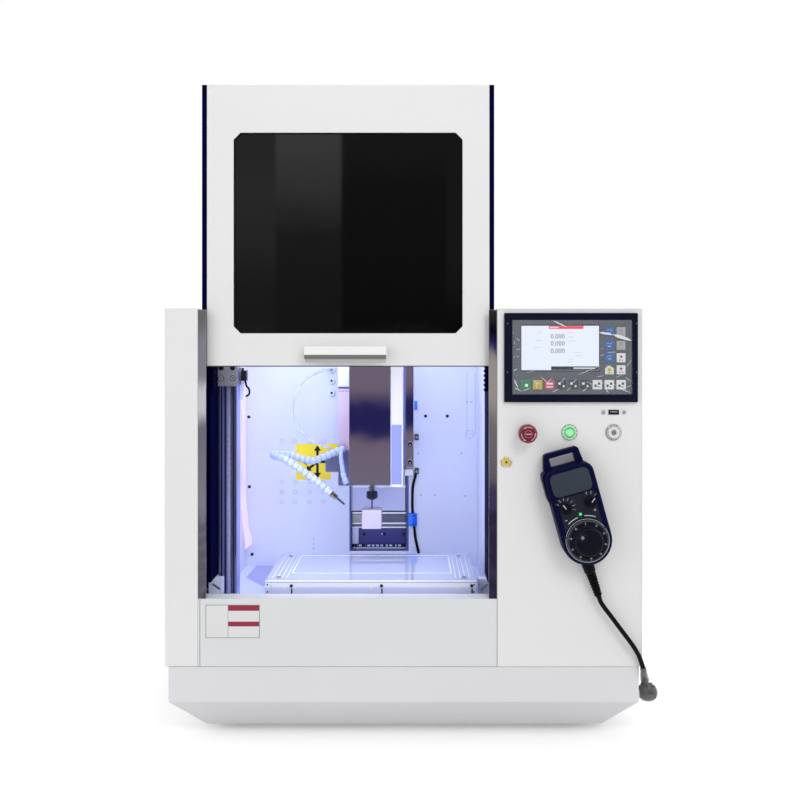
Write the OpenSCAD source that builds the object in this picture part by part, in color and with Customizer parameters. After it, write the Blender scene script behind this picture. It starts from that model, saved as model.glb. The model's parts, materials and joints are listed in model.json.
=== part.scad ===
// Benchtop CNC milling machine in a sheet-steel cabinet, with a lifting window door.
// Every module works in cabinet coordinates: X from the cabinet's centre, Y back from its front face,
// Z up from the underside of the base. to_frame() then sets the whole machine on its feet.

/* [Cabinet] */
// Width over the side walls
cab_w = 686; // [660:1:720]
// Height of the shoulders above the underside of the base
cab_h = 618; // [612:1:660]
// Depth from the front face to the rear cover
cab_d = 480; // [475:1:540]
// Thickness of the sheet steel
sheet = 2; // [1.5:0.1:2.5]
// Height of the sill that the door closes on
sill_h = 201; // [199:0.5:203]
// Depth of the sill's top lip
sill_lip = 25; // [20:1:28]
// Depth at which the fixed roof starts behind the door
roof_front = 90; // [89:1:110]
// Centre line of the door bay
bay_x = -80.5; // [-84:0.5:-78]

/* [Base] */
// Width of the folded base
base_w = 677; // [660:1:684]
// Height of the base
base_h = 104; // [100:1:110]
// Width of the fold along the base's lower edge
fold_w = 44; // [30:1:55]
// Height of the fold along the base's lower edge
fold_h = 52; // [30:1:60]
// Set-back of the base behind the cabinet's front face
base_inset = 2; // [0:0.5:5]
// Wall of the base
base_t = 3; // [2:0.5:4]
// Height of the rubber feet
foot_h = 12; // [8:1:20]
// Radius of the rubber feet
foot_r = 20; // [15:1:25]

/* [Door] */
// Width of the door panel
door_w = 410; // [400:1:412]
// Height of the door panel
door_h = 409; // [405:1:412]
// Thickness of the door panel
door_t = 22; // [18:1:23]
// Front face of the door behind the cabinet's front face
door_y = 12; // [8:1:13]
// Lower edge of the raised door
door_z = 534; // [530:1:540]
// Way from the raised door down to the closed one
door_drop = 330; // [300:1:330]
// Width of the window
window_w = 332; // [300:1:345]
// Height of the window
window_h = 291; // [260:1:310]
// Chamfer of the window's corners
window_cut = 10; // [4:1:16]
// Height of the window's centre above the door's lower edge
window_up = 194; // [180:1:205]
// Width of the black rail along each side of the door
rail_w = 7; // [5:0.5:7.5]
// Width of the mirror strips beside the bay
strip_w = 11.7; // [8:0.1:12]
// Width of the door pull
pull_w = 118; // [80:1:160]
// Height of the door pull
pull_h = 23.5; // [18:0.5:28]

/* [Chamber] */
// Height of the chamber floor
floor_z = 165; // [164.5:0.1:166]
// Depth of the chamber's back wall
wall_y = 308; // [307:0.5:310]
// Thickness of the chamber's liner
liner = 2; // [1.5:0.1:2]

/* [Machine] */
// Centre line of the column, the slides and the table
axis_x = -49; // [-52:0.5:-47]
// Width of the table
table_w = 314; // [290:1:316]
// Depth of the table
table_d = 156; // [140:1:160]
// Front edge of the table at rest
table_y = 40; // [36:0.5:44]
// Height of the table's clear top
table_z = 216; // [214:0.5:222]
// Radius of the ball screws
screw_r = 5; // [4:0.1:5.5]
// Running clearance around each ball screw
screw_gap = 0.06; // [0.02:0.01:0.1]
// Gap between a carriage and its rail
slide_gap = 0.3; // [0.2:0.05:0.5]
// Centre line of the spindle, across
spindle_x = -53; // [-54:0.5:-52]
// Centre line of the spindle, in depth
spindle_y = 165; // [160:1:170]
// Radius of the spindle motor
spindle_r = 26; // [20:0.5:26.5]
// Lower edge of the head cover
head_z = 342; // [338:1:350]
// Height of the head cover
head_h = 218; // [200:1:220]

/* [Control column] */
// Panel left beside the controller's bezel, on its left
ctrl_left = 9.8; // [8:0.1:15]
// Panel left beside the controller's bezel, on its right
ctrl_right = 7.7; // [6:0.1:15]
// Height of the controller's bezel
ctrl_h = 127.7; // [110:0.1:140]
// Centre of the controller, in height
ctrl_z = 547.4; // [530:0.1:550]
// Height of the row of large buttons
button_z = 440; // [430:1:450]
// Outer radius of the large buttons' rings
ring_r = 11; // [9:0.1:13]
// Travel of the push buttons
press = 3; // [1:0.1:4]

/* [Pendant] */
// Centre of the hand wheel, across
pend_x = 257.5; // [250:0.5:262]
// Centre of the hand wheel, in height
pend_z = 292; // [285:1:300]
// Lean of the pendant to the left
pend_tilt = 15.5; // [0:0.5:25]
// Half width of the pendant
pend_r = 35; // [33:0.5:38]
// Thickness of the pendant's body
pend_t = 30; // [26:1:34]
// Radius of the pendant's dial
dial_r = 29.5; // [24:0.5:31]

/* [Hidden] */
$fn = 64;

// Shared gaps and small stock
seam = 0.3;
strip_t = 2;
pend_gap = 1;
wheel_rise = 15;
front_reach = pend_gap + pend_t + wheel_rise;
front_y = (front_reach - cab_d) / 2;

// Door bay
bay_half = door_w / 2;
channel_gap = 1;
channel_web = 3;
web_half = bay_half + rail_w + channel_gap;
channel_half = web_half + channel_web;
opening_half = bay_half - 2;
strip_half = opening_half + strip_w;
pillar_x = bay_x - strip_half - seam;
column_x = bay_x + strip_half + seam;
channel_back = 88;
guide_y = door_y + door_t + 2;
roof_z = cab_h - sheet;

// Slides, worked out upwards from the deck
deck_z = base_h;
bed_half = 75;
bed_y = 44;
bed_end = 440;
rail_h = 8;
rail_half = 6;
carriage_h = 13;
carriage_half = 13.5;
carriage_l = 34;
table_plate_h = 22;
sheet_h = 4;
plate_z = table_z - sheet_h - table_plate_h;
saddle_deck_t = 10;
saddle_deck_z = plate_z - carriage_h - saddle_deck_t;
stem_h = 13;
stem_z = saddle_deck_z - stem_h;
bed_z = stem_z - carriage_h;
y_rail_x = 50;
x_rail_y = 40;
table_mid_y = table_y + table_d / 2;
saddle_x = axis_x - 16;
saddle_half = 110;
y_screw_z = bed_z - 1;
x_screw_z = plate_z - 6;
groove_h = 10;
groove_half = 17;
block_t = 12;
bore_r = screw_r + screw_gap;
motor_w = 42;
motor_l = 34;
x_motor_w = 28;

// Column behind the back wall
slot_half = 52;
slot_z = 192;
column_y = wall_y + 32;
column_half = 50;
column_top = 568;
z_rail_x = 35;
z_screw_y = column_y - 2;
z_rail_bottom = 245;
z_rail_top = 545;
plate_y = column_y - carriage_h;
plate_t = 12;
arm_l = spindle_x - 33.5;
arm_r = spindle_x + 29.5;
head_plate_z = head_z + 3;
head_plate_h = 130;

// Door lift
lift_x = bay_x - bay_half + 15.5;
lift_y = 78;
lift_w = 28;
lift_deep = 22;
lift_wall = 7;
lift_top = 600;
lift_screw_y = lift_y + 10;
lift_plate_y = 72;

// Routes, as points from the cabinet's front left view: across, back, up
cord_r = 3.25;
CORD = [
  [278.3, -10, 206.5], [280.9, -10, 199.4], [286, -10.4, 191.5], [295.1, -11, 179.8], [309.5, -11.5, 160.4],
  [324.1, -11, 140.9], [329.8, -9.5, 132.3], [335.2, -8, 123.2], [340.2, -5.2, 111.2], [343.1, -3.9, 101.7],
  [345.7, 2.5, 93.2], [348.5, 10.5, 86.2], [351, 17, 80.5], [352, 19, 75.2]
];
HOSE = [
  [-104, 224, 389.1], [-132, 205, 379.1], [-158, 195, 372], [-194, 181, 385], [-214, 162, 386],
  [-192, 145, 381], [-170, 147, 366], [-145, 152, 347], [-123, 158, 327]
];
BRANCH = [
  [-107, 219, 388], [-108, 212, 382], [-107, 206, 372], [-104.5, 202, 358], [-101.5, 199, 344], [-97, 197, 333]
];
tube_r = 2.6;
TUBE = [
  [-126.5, 223, 383.8], [-127.5, 223, 388.5], [-133, 224, 392], [-146, 227, 396], [-166, 232, 405],
  [-185, 240, 425], [-193.5, 250, 458], [-190, 260, 486], [-180, 270, 503], [-162, 279, 515], [-145, 288, 521],
  [-136, 296, 522], [-133.4, 300.5, 522], [-133, 304.4, 522]
];
cable_r = 2.4;
CABLE = [
  [21, 303.5, 341], [20, 303.5, 335], [19.3, 303.5, 330], [17, 304, 322], [14.8, 304, 311], [13.8, 304, 298],
  [13.8, 304, 270], [16.5, 304, 240],
  [19.5, 304, 215], [24.5, 304, 192], [29, 304, 167.4]
];
clip_z = [395, 333];

// ---- helpers ----
module to_frame() translate([0, front_y, foot_h]) children();
module slab(x0, x1, y0, y1, z0, z1) translate([x0, y0, z0]) cube([x1 - x0, y1 - y0, z1 - z0]);
// A flat outline in the X-Z plane, thickened from depth y0 back to y1
module upright(x, z, y0, y1) translate([x, y1, z]) rotate([90, 0, 0]) linear_extrude(y1 - y0) children();
// A solid whose own Z axis looks out of the cabinet's front
module outward(x, y, z) translate([x, y, z]) rotate([90, 0, 0]) children();
module along_x(x0, x1, y, z, r) translate([x0, y, z]) rotate([0, 90, 0]) cylinder(h = x1 - x0, r = r);
module along_y(y0, y1, x, z, r) translate([x, y0, z]) rotate([-90, 0, 0]) cylinder(h = y1 - y0, r = r);
module along_z(z0, z1, x, y, r) translate([x, y, z0]) cylinder(h = z1 - z0, r = r);
module both_sides() {
  children();
  translate([2 * bay_x, 0, 0]) mirror([1, 0, 0]) children();
}
module round_rect(w, h, r) {
  square([w - 2 * r, h], center = true);
  square([w, h - 2 * r], center = true);
  for (sx = [-1, 1], sy = [-1, 1]) translate([sx * (w / 2 - r), sy * (h / 2 - r)]) circle(r);
}
module cut_rect(w, h, c) polygon([
  [-w / 2 + c, -h / 2], [w / 2 - c, -h / 2], [w / 2, -h / 2 + c], [w / 2, h / 2 - c],
  [w / 2 - c, h / 2], [-w / 2 + c, h / 2], [-w / 2, h / 2 - c], [-w / 2, -h / 2 + c]
]);
// Turned solids: points are [radius, height]
module turned(points) rotate_extrude() polygon(points);

// A smooth curve through points, and a round tube along it
function pick(p, i) = p[max(0, min(len(p) - 1, i))];
function blend4(a, b, c, d, t) =
  0.5 * (2 * b + (c - a) * t + (2 * a - 5 * b + 4 * c - d) * t * t + (3 * b - a - 3 * c + d) * t * t * t);
function curve(p, n) = [
  for (i = [0 : len(p) - 2], k = [0 : n - 1])
    blend4(pick(p, i - 1), p[i], p[i + 1], pick(p, i + 2), k / n),
  p[len(p) - 1]
];
function unit(v) = v / norm(v);
function ring(c, t, up, r, sides) =
  let (side = unit(cross(t, up)), top = cross(side, t))
  [for (k = [0 : sides - 1]) c + r * (cos(360 * k / sides) * side + sin(360 * k / sides) * top)];
module tube(path, radii, up, sides) {
  last = len(path) - 1;
  points = [
    for (i = [0 : last])
      each ring(path[i], unit(pick(path, i + 1) - pick(path, i - 1)), up, radii[i], sides)
  ];
  start = [for (k = [sides - 1 : -1 : 0]) k];
  finish = [for (k = [0 : sides - 1]) last * sides + k];
  walls = [
    for (i = [0 : last - 1], k = [0 : sides - 1])
      let (n = (k + 1) % sides)
      each [
        [i * sides + k, i * sides + n, (i + 1) * sides + k],
        [i * sides + n, (i + 1) * sides + n, (i + 1) * sides + k]
      ]
  ];
  polyhedron(points = points, faces = concat([start, finish], walls), convexity = 8);
}
module cord(points, n, r, up, sides = 8) {
  path = curve(points, n);
  tube(path, [for (p = path) r], up, sides);
}

// ---- base ----
function fold_shift(t) = t * norm([fold_w, fold_h]) / fold_h;
function low_wall(t) = t == 0 ? fold_h : (fold_w - t + fold_shift(t)) * fold_h / fold_w;
function low_foot(t) = t == 0 ? fold_w : fold_w + fold_shift(t) - t * fold_w / fold_h;
module base_form(t) intersection() {
  upright(0, 0, base_inset, cab_d - t) polygon([
    [-base_w / 2 + low_foot(t), t], [base_w / 2 - low_foot(t), t], [base_w / 2 - t, low_wall(t)],
    [base_w / 2 - t, base_h - t], [-base_w / 2 + t, base_h - t], [-base_w / 2 + t, low_wall(t)]
  ]);
  translate([-base_w / 2, 0, 0]) rotate([90, 0, 90]) linear_extrude(base_w) polygon([
    [base_inset + low_foot(t), t], [cab_d - t, t], [cab_d - t, base_h - t],
    [base_inset + t, base_h - t], [base_inset + t, low_wall(t)]
  ]);
}
plug_y = 20;
plug_z = 59;
socket_r = 8;
module base_plinth() color("gainsboro") to_frame() difference() {
  base_form(0);
  base_form(base_t);
  slab(-200, 200, 120, 400, -1, base_t + 1);
  along_x(base_w / 2 - 10, base_w / 2 + 1, plug_y, plug_z, socket_r + seam);
}
foot_x = base_w / 2 - fold_w - 45;
module rubber_feet() color("dimgray") to_frame()
  for (x = [-foot_x, foot_x], y = [fold_w + 47, cab_d - 45])
    translate([x, y, -foot_h]) turned([
      [0, 0], [foot_r - 1, 0], [foot_r, 1], [foot_r - 2, foot_h], [0, foot_h]
    ]);

// ---- cabinet ----
side_x = cab_w / 2;
module cabinet_shell() color("whitesmoke") to_frame() {
  slab(-side_x, -side_x + sheet, 0, cab_d - sheet, base_h, cab_h);
  slab(side_x - sheet, side_x, 0, cab_d - sheet, base_h, cab_h);
  slab(-side_x, pillar_x, 0, sheet, base_h, cab_h);
  slab(-side_x, bay_x - channel_half, 0, roof_front, roof_z, cab_h);
  slab(bay_x + channel_half, side_x, sheet, roof_front, roof_z, cab_h);
  slab(column_x, side_x, 0, sheet, roof_z, cab_h);
  slab(-side_x, side_x, roof_front, cab_d - sheet, roof_z, cab_h);
  slab(-side_x, side_x, roof_front, roof_front + sheet, roof_z - 10, cab_h);
  for (s = [-1, 1])
    slab(min(s * side_x, s * (side_x - 16)), max(s * side_x, s * (side_x - 16)),
      cab_d - 2 * sheet, cab_d - sheet, base_h, cab_h);
}
ctrl_w = side_x - column_x - ctrl_left - ctrl_right;
ctrl_x = column_x + ctrl_left + ctrl_w / 2;
estop_side = 41.2;
white_side = 41.6;
estop_x = column_x + estop_side;
white_x = side_x - white_side;
green_x = (estop_x + white_x) / 2 - 0.6;
yellow_x = column_x + 12.8;
usb_x = white_x + 0.2;
usb_z = 469;
yellow_z = 397.5;
yellow_r = 7.2;
ctrl_body_w = ctrl_w - 9;
ctrl_body_h = ctrl_h - 10;
neck_r = ring_r - 1.5;
module control_panel() color("whitesmoke") to_frame() difference() {
  slab(column_x, side_x - sheet, 0, sheet, base_h, roof_z);
  upright(ctrl_x, ctrl_z, -1, sheet + 1) square([ctrl_body_w + 2 * seam, ctrl_body_h + 2 * seam], center = true);
  upright(usb_x, usb_z, -1, sheet + 1) square([16, 7.4], center = true);
  for (x = [estop_x, green_x, white_x]) along_y(-1, sheet + 1, x, button_z, neck_r + seam / 2);
  along_y(-1, sheet + 1, yellow_x, yellow_z, yellow_r - 1);
}
module rear_cover() color("whitesmoke") to_frame() difference() {
  slab(-side_x, side_x, cab_d - sheet, cab_d, base_h, cab_h);
  for (x = [-250 : 100 : 250], k = [0 : 9])
    slab(x - 30, x + 30, cab_d - sheet - 1, cab_d + 1, 470 + 11 * k, 475 + 11 * k);
}
module front_fascia() color("whitesmoke") to_frame() {
  slab(pillar_x + seam, column_x - seam, 0, sheet, base_h, sill_h);
  slab(pillar_x + seam, column_x - seam, 0, sill_lip, sill_h - sheet, sill_h);
  slab(pillar_x + seam, column_x - seam, sill_lip - sheet, sill_lip, floor_z, sill_h);
}
knob_z = [355.5, 387.7];
module mirror_trim() color("silver") to_frame() {
  both_sides() slab(bay_x - strip_half, bay_x - opening_half, 0, strip_t, sill_h, roof_z);
  slab(axis_x + slot_half - 2.5, axis_x + slot_half + 12.8, wall_y - 5, wall_y, 345, roof_z - 4);
  for (z = knob_z) along_y(wall_y - 12, wall_y - 5, axis_x + slot_half + 6.5, z, 4.5);
  slab(axis_x + slot_half - 3, axis_x + slot_half + 13, wall_y - 9, wall_y, 330, 342);
}
floor_x0 = bay_x - bay_half - 3;
floor_x1 = bay_x + bay_half + 7;
floor_slot = y_rail_x + 20;
module chamber_floor() color("white") to_frame() difference() {
  slab(floor_x0, floor_x1, sill_lip, wall_y, floor_z - liner, floor_z);
  slab(axis_x - floor_slot, axis_x + floor_slot, bed_y + 2, table_mid_y + 164,
    floor_z - liner - 1, floor_z + 1);
  slab(lift_x - 6, lift_x + 6, lift_screw_y - 6, lift_screw_y + 6, floor_z - liner - 1, floor_z + 1);
}
stud_x = [-223.5, -199.8, -173.4, -148.2];
stud_z = [392, 318, 300, 282];
grommet_z = [552, 522, 502, 480];
module chamber_back() color("white") to_frame() {
  difference() {
    slab(floor_x0, floor_x1, wall_y, wall_y + liner, floor_z - liner, roof_z - 3);
    slab(axis_x - slot_half, axis_x + slot_half, wall_y - 1, wall_y + liner + 1, slot_z, cab_h);
    for (x = [37.5, 77.3]) along_y(wall_y - 1, wall_y + liner + 1, x, 437.5, 3);
  }
  for (x = stud_x, z = stud_z) along_y(wall_y - 1.5, wall_y, x, z, 3.6);
  for (z = grommet_z) along_y(wall_y - 3, wall_y, -133, z, 6);
}
bracket_z = 190;
module chamber_sides() color("white") to_frame() {
  slab(floor_x0 - liner, floor_x0, channel_back + 1, wall_y + liner, floor_z - liner, roof_z - 11);
  slab(floor_x1, floor_x1 + liner, channel_back + 1, wall_y + liner, floor_z - liner, roof_z - 11);
  both_sides() difference() {
    slab(bay_x - web_half, bay_x - bay_half + 12, guide_y + 18, lift_plate_y - 2, bracket_z, bracket_z + 24);
    translate([bay_x - bay_half + 3, lift_plate_y, bracket_z + 12]) rotate([90, 35, 0])
      linear_extrude(40) square([14, 4], center = true);
  }
}
channel_top = roof_z - 2;
module door_channels() color("black") to_frame() both_sides() {
  slab(bay_x - channel_half, bay_x - web_half, strip_t, channel_back, sill_h, channel_top);
  slab(bay_x - channel_half, bay_x - opening_half - 0.5, strip_t, strip_t + 3, sill_h, channel_top);
  slab(bay_x - web_half, bay_x - bay_half, guide_y, channel_back, bracket_z + 24, channel_top);
}
bar_half = 170;
bar_w = 18;
module light_bar() color("white") to_frame()
  slab(bay_x - bar_half, bay_x + bar_half, roof_front + 8, roof_front + 8 + bar_w, roof_z - 12, roof_z);

// ---- door lift ----
lift_x0 = lift_x - lift_w / 2;
lift_x1 = lift_x + lift_w / 2;
module lift_profile() color("silver") to_frame() difference() {
  slab(lift_x0, lift_x1, lift_y, lift_y + lift_deep, floor_z, lift_top);
  slab(lift_x0 + lift_wall, lift_x1 - lift_wall, lift_y - 1, lift_y + lift_deep - 4, floor_z - 1, lift_top + 1);
  for (x = [lift_x0 + 3.5, lift_x1 - 3.5])
    slab(x - 1, x + 1, lift_y - 1, lift_y + 1.5, floor_z - 1, lift_top + 1);
}
lift_low = deck_z + motor_l + 1;
module lift_screw() color("silver") to_frame() {
  along_z(lift_low + 14, lift_top - 2, lift_x, lift_screw_y, screw_r);
  along_z(lift_low + seam, lift_low + 14, lift_x, lift_screw_y, screw_r);
}
carriage_low = 503;
block_w = 5;
block_x = bay_x - bay_half + block_w;
module lift_carriage() color("silver") to_frame() {
  difference() {
    union() {
      slab(lift_x0, lift_x1 + 3, lift_plate_y, lift_y - seam, carriage_low, carriage_low + 87);
      slab(lift_x - 6, lift_x + 6, lift_y - 2, lift_y + lift_deep - 5, carriage_low + 20, carriage_low + 70);
      slab(block_x + seam, block_x + 10, door_y + door_t, lift_plate_y, carriage_low + 42, carriage_low + 87);
    }
    along_z(carriage_low, carriage_low + 90, lift_x, lift_screw_y, bore_r);
    for (x = [lift_x - 8.7, lift_x + 8.7], z = [12, 33])
      along_y(lift_plate_y - 1, lift_y, x, carriage_low + z, z > 20 ? 2.6 : 2.2);
  }
}

// ---- door ----
window_z = door_z + window_up;
pane_lap = 7;
pane_y = door_y + sheet;
pane_t = 4;
module door_frame() color("whitesmoke") to_frame() difference() {
  slab(bay_x - bay_half, bay_x + bay_half, door_y, door_y + door_t, door_z, door_z + door_h);
  upright(bay_x, window_z, door_y - 1, door_y + door_t + 1) cut_rect(window_w, window_h, window_cut);
  slab(bay_x - bay_half + 12, bay_x + bay_half - 12, pane_y, door_y + door_t + 1, door_z + 8, door_z + door_h - 8);
}
module door_window() color([0.1, 0.1, 0.12, 0.8]) to_frame()
  upright(bay_x, window_z, pane_y, pane_y + pane_t)
    cut_rect(window_w + 2 * pane_lap - 0.4, window_h + 2 * pane_lap - 0.4, window_cut);
block_low = 497;
module door_rails() color("black") to_frame() both_sides() {
  slab(bay_x - bay_half - rail_w, bay_x - bay_half, door_y, door_y + door_t, door_z, door_z + door_h);
  difference() {
    slab(bay_x - bay_half + seam, block_x, door_y + door_t, guide_y + 14, block_low, door_z + 26);
    for (k = [0 : 4])
      slab(block_x - 1.6, block_x + 1, door_y, guide_y + 20, block_low + 4 + 7 * k, block_low + 7 + 7 * k);
  }
}
pull_x = -83.5;
pull_z = door_z + 6;
pull_t = 1.5;
pull_out = 18;
lip_h = pull_h / 2;
lip_back = 9;
module door_pull() color("whitesmoke") to_frame()
  translate([pull_x - pull_w / 2, door_y - pull_out, pull_z]) rotate([90, 0, 90]) linear_extrude(pull_w) polygon([
    [0, lip_h], [0, pull_h], [pull_out, pull_h], [pull_out, pull_h - pull_t], [pull_t, pull_h - pull_t],
    [pull_t, lip_h + 0.3], [lip_back + pull_t, 0.6], [lip_back, 0]
  ]);

// ---- slides ----
trough_half = 22;
trough_z = bed_z - 19;
module machine_bed() color("dimgray") to_frame() {
  difference() {
    slab(axis_x - bed_half, axis_x + bed_half, bed_y, bed_end, deck_z, bed_z);
    slab(axis_x - trough_half, axis_x + trough_half, bed_y - 1, wall_y - 8, trough_z, bed_z + 1);
  }
  slab(axis_x - trough_half, axis_x + trough_half, bed_y - motor_l - 6, bed_y, deck_z, y_screw_z - motor_w / 2);
}
module linear_rails() color("silver") to_frame() {
  for (s = [-1, 1]) {
    slab(axis_x + s * y_rail_x - rail_half, axis_x + s * y_rail_x + rail_half,
      bed_y + 4, wall_y - 10, bed_z, bed_z + rail_h);
    slab(axis_x + s * z_rail_x - rail_half, axis_x + s * z_rail_x + rail_half,
      column_y - rail_h, column_y, z_rail_bottom, z_rail_top);
  }
}
foot_block_z = 203;
module z_column() color("slategray") to_frame() {
  difference() {
    slab(axis_x - column_half, axis_x + column_half, column_y, column_y + 80, bed_z, column_top);
    slab(axis_x - 18, axis_x + 18, column_y - 1, column_y + 14, z_rail_bottom - 6, column_top + 1);
  }
  difference() {
    slab(axis_x - column_half + 15, axis_x + column_half, wall_y + 11.5, column_y, foot_block_z, foot_block_z + 31);
    for (x = [-27, 9, 45]) along_y(wall_y + 10, wall_y + 17, axis_x + x, foot_block_z + 18, 2.5);
  }
  slab(axis_x - column_half + 3, axis_x - column_half + 14, wall_y + 11.5, column_y, foot_block_z, foot_block_z + 31);
  slab(axis_x - column_half, axis_x + column_half, wall_y + 10, wall_y + 11.5, foot_block_z + 20, foot_block_z + 66);
}
y_block_front = bed_y + 6;
y_block_back = wall_y - 24;
z_block_low = z_rail_bottom - 4;
z_block_high = z_rail_top;
module screw_bearings() color("dimgray") to_frame() {
  for (y = [y_block_front, y_block_back]) difference() {
    slab(axis_x - 20, axis_x + 20, y, y + block_t, trough_z, stem_z - 2);
    along_y(y - 1, y + block_t + 1, axis_x, y_screw_z, bore_r);
  }
  for (z = [z_block_low, z_block_high]) difference() {
    slab(axis_x - 16, axis_x + 16, z_screw_y - 10, column_y + 14, z, z + block_t);
    along_z(z - 1, z + block_t + 1, axis_x, z_screw_y, bore_r);
  }
  difference() {
    slab(lift_x - 7, lift_x + 7, lift_y + 1, lift_y + lift_deep - 4, floor_z, floor_z + 10);
    along_z(floor_z - 1, floor_z + 11, lift_x, lift_screw_y, bore_r);
  }
  difference() {
    slab(lift_x - 7, lift_x + 7, lift_y + 1, lift_y + lift_deep - 4, lift_top - 10, lift_top);
    along_z(lift_top - 11, lift_top - 2 + seam, lift_x, lift_screw_y, bore_r);
  }
}
module motor_block(w, l) {
  difference() {
    translate([-w / 2, -w / 2, 0]) cube([w, w, l]);
    for (a = [45 : 90 : 315]) rotate(a) translate([w * 0.5 * sqrt(2) - 1.5, 0, l / 2])
      cube([6, w / 4, l + 2], center = true);
  }
}
module axis_motors() color("black") to_frame() {
  translate([axis_x, bed_y - 6, y_screw_z]) rotate([90, 0, 0]) motor_block(motor_w, motor_l);
  translate([axis_x, z_screw_y, column_top]) motor_block(motor_w, motor_l);
  translate([lift_x, lift_screw_y, deck_z]) motor_block(motor_w, motor_l);
}
module y_screw() color("silver") to_frame() {
  along_y(bed_y + 5, y_block_back + block_t, axis_x, y_screw_z, screw_r);
  along_y(bed_y - 6 + seam, bed_y + 5, axis_x, y_screw_z, 9);
}
module z_screw() color("silver") to_frame() {
  along_z(z_block_low, z_block_high + block_t + 1, axis_x, z_screw_y, screw_r);
  along_z(z_block_high + block_t + 1, column_top - seam, axis_x, z_screw_y, 9);
}
// One carriage with its rail groove, its top face at z = 0 and its rail along X
module carriage() difference() {
  translate([-carriage_l / 2, -carriage_half, -carriage_h + slide_gap])
    cube([carriage_l, 2 * carriage_half, carriage_h - slide_gap]);
  translate([-carriage_l, -rail_half - slide_gap, -carriage_h - 1])
    cube([2 * carriage_l, 2 * (rail_half + slide_gap), rail_h + slide_gap + 1]);
}
saddle_y0 = table_mid_y - 58;
saddle_y1 = table_mid_y + 58;
module saddle() color("lightgray") to_frame() {
  slab(axis_x - y_rail_x - 16, axis_x + y_rail_x + 16, saddle_y0, saddle_y1, stem_z, saddle_deck_z);
  slab(saddle_x - saddle_half, saddle_x + saddle_half, saddle_y0 + 2, saddle_y1 - 2,
    saddle_deck_z, saddle_deck_z + saddle_deck_t);
  for (s = [-1, 1], t = [-1, 1])
    translate([axis_x + s * y_rail_x, table_mid_y + t * 39, stem_z]) rotate(90) carriage();
  for (s = [-1, 1])
    slab(saddle_x - saddle_half + 3, saddle_x + saddle_half - 3, table_mid_y + s * x_rail_y - rail_half,
      table_mid_y + s * x_rail_y + rail_half, plate_z - carriage_h, plate_z - carriage_h + rail_h);
  difference() {
    slab(axis_x - 18, axis_x + 18, table_mid_y - 12, table_mid_y + 12, stem_z - 25, stem_z);
    along_y(table_mid_y - 13, table_mid_y + 13, axis_x, y_screw_z, bore_r);
  }
}
x_block_l = saddle_x - saddle_half;
x_block_r = saddle_x + saddle_half - block_t;
deck_top = saddle_deck_z + saddle_deck_t;
module x_drive() color("black") to_frame() {
  for (x = [x_block_l, x_block_r]) difference() {
    slab(x, x + block_t, table_mid_y - 12, table_mid_y + 12, deck_top, deck_top + 19);
    along_x(x - 1, x + block_t + 1, table_mid_y, x_screw_z, bore_r);
  }
  difference() {
    slab(x_block_r + block_t, x_block_r + block_t + 2, table_mid_y - 14, table_mid_y + 14,
      x_screw_z - 14, x_screw_z + 14);
    along_x(x_block_r, x_block_r + block_t + 1, table_mid_y, x_screw_z, bore_r);
  }
  translate([x_block_r + block_t + 2, table_mid_y, x_screw_z]) rotate([0, 90, 0]) motor_block(x_motor_w, 40);
}
module x_screw() color("silver") to_frame()
  along_x(x_block_l, x_block_r + block_t - seam, table_mid_y, x_screw_z, screw_r);
table_x0 = axis_x - table_w / 2;
table_x1 = axis_x + table_w / 2;
module table_plate() color("white") to_frame() {
  difference() {
    slab(table_x0, table_x1, table_y, table_y + table_d, plate_z, plate_z + table_plate_h);
    slab(table_x0 - 1, table_x1 + 1, table_mid_y - groove_half, table_mid_y + groove_half, plate_z - 1, plate_z + groove_h);
    slab(axis_x - 122, axis_x + 122, table_y + 38.5, table_y + 143, plate_z + table_plate_h - 2, plate_z + table_plate_h + 1);
    for (s = [-1, 1], k = [0 : 2])
      slab(axis_x + s * (129 + 7 * k) - 1.5, axis_x + s * (129 + 7 * k) + 1.5, table_y + 14, table_y + table_d - 12,
        plate_z + table_plate_h - 1.5, plate_z + table_plate_h + 1);
  }
  for (s = [-1, 1], t = [-1, 1]) translate([axis_x + s * 60, table_mid_y + t * x_rail_y, plate_z]) carriage();
  difference() {
    slab(axis_x - 12, axis_x + 12, table_mid_y - 13, table_mid_y + 13, deck_top + 1, plate_z + groove_h);
    along_x(axis_x - 13, axis_x + 13, table_mid_y, x_screw_z, bore_r);
  }
}
module table_sheet() color([0.85, 0.92, 1, 0.4]) to_frame()
  slab(table_x0, table_x1, table_y, table_y + table_d, table_z - sheet_h, table_z);

// ---- head ----
cheek_w = 28;
cheek_h = 214;
cheek_y = 231;
spindle_l = 190;
module head_frame() color("lightsteelblue") to_frame() {
  difference() {
    slab(arm_l, arm_r, spindle_y - 15, plate_y - plate_t, head_plate_z + 25, head_plate_z + head_plate_h);
    along_z(head_z, cab_h, spindle_x, spindle_y, spindle_r + 0.05);
  }
  slab(axis_x - 46, axis_x + 46, plate_y - plate_t, plate_y, head_plate_z, head_plate_z + head_plate_h);
  slab(axis_x - 50, axis_x + 50, plate_y - plate_t - 1.5, plate_y - plate_t, head_z - 78, head_plate_z + 30);
  for (s = [-1, 1], z = [head_plate_z + 17, head_plate_z + head_plate_h - 17])
    translate([axis_x + s * z_rail_x, plate_y, z]) rotate([90, 0, 0]) rotate(90) carriage();
  difference() {
    slab(axis_x - 13, axis_x + 13, plate_y, z_screw_y + 11, head_plate_z + 53, head_plate_z + 77);
    along_z(head_plate_z + 50, head_plate_z + 80, axis_x, z_screw_y, bore_r);
  }
  slab(arm_l - cheek_w, arm_l, cheek_y, cheek_y + 2, head_z - 18, head_z + cheek_h);
}
module spindle_motor() color("silver") to_frame() {
  along_z(head_z + 2, head_z + spindle_l, spindle_x, spindle_y, spindle_r);
}
cover_l = spindle_x - 35;
cover_r = spindle_x + 31;
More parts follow.
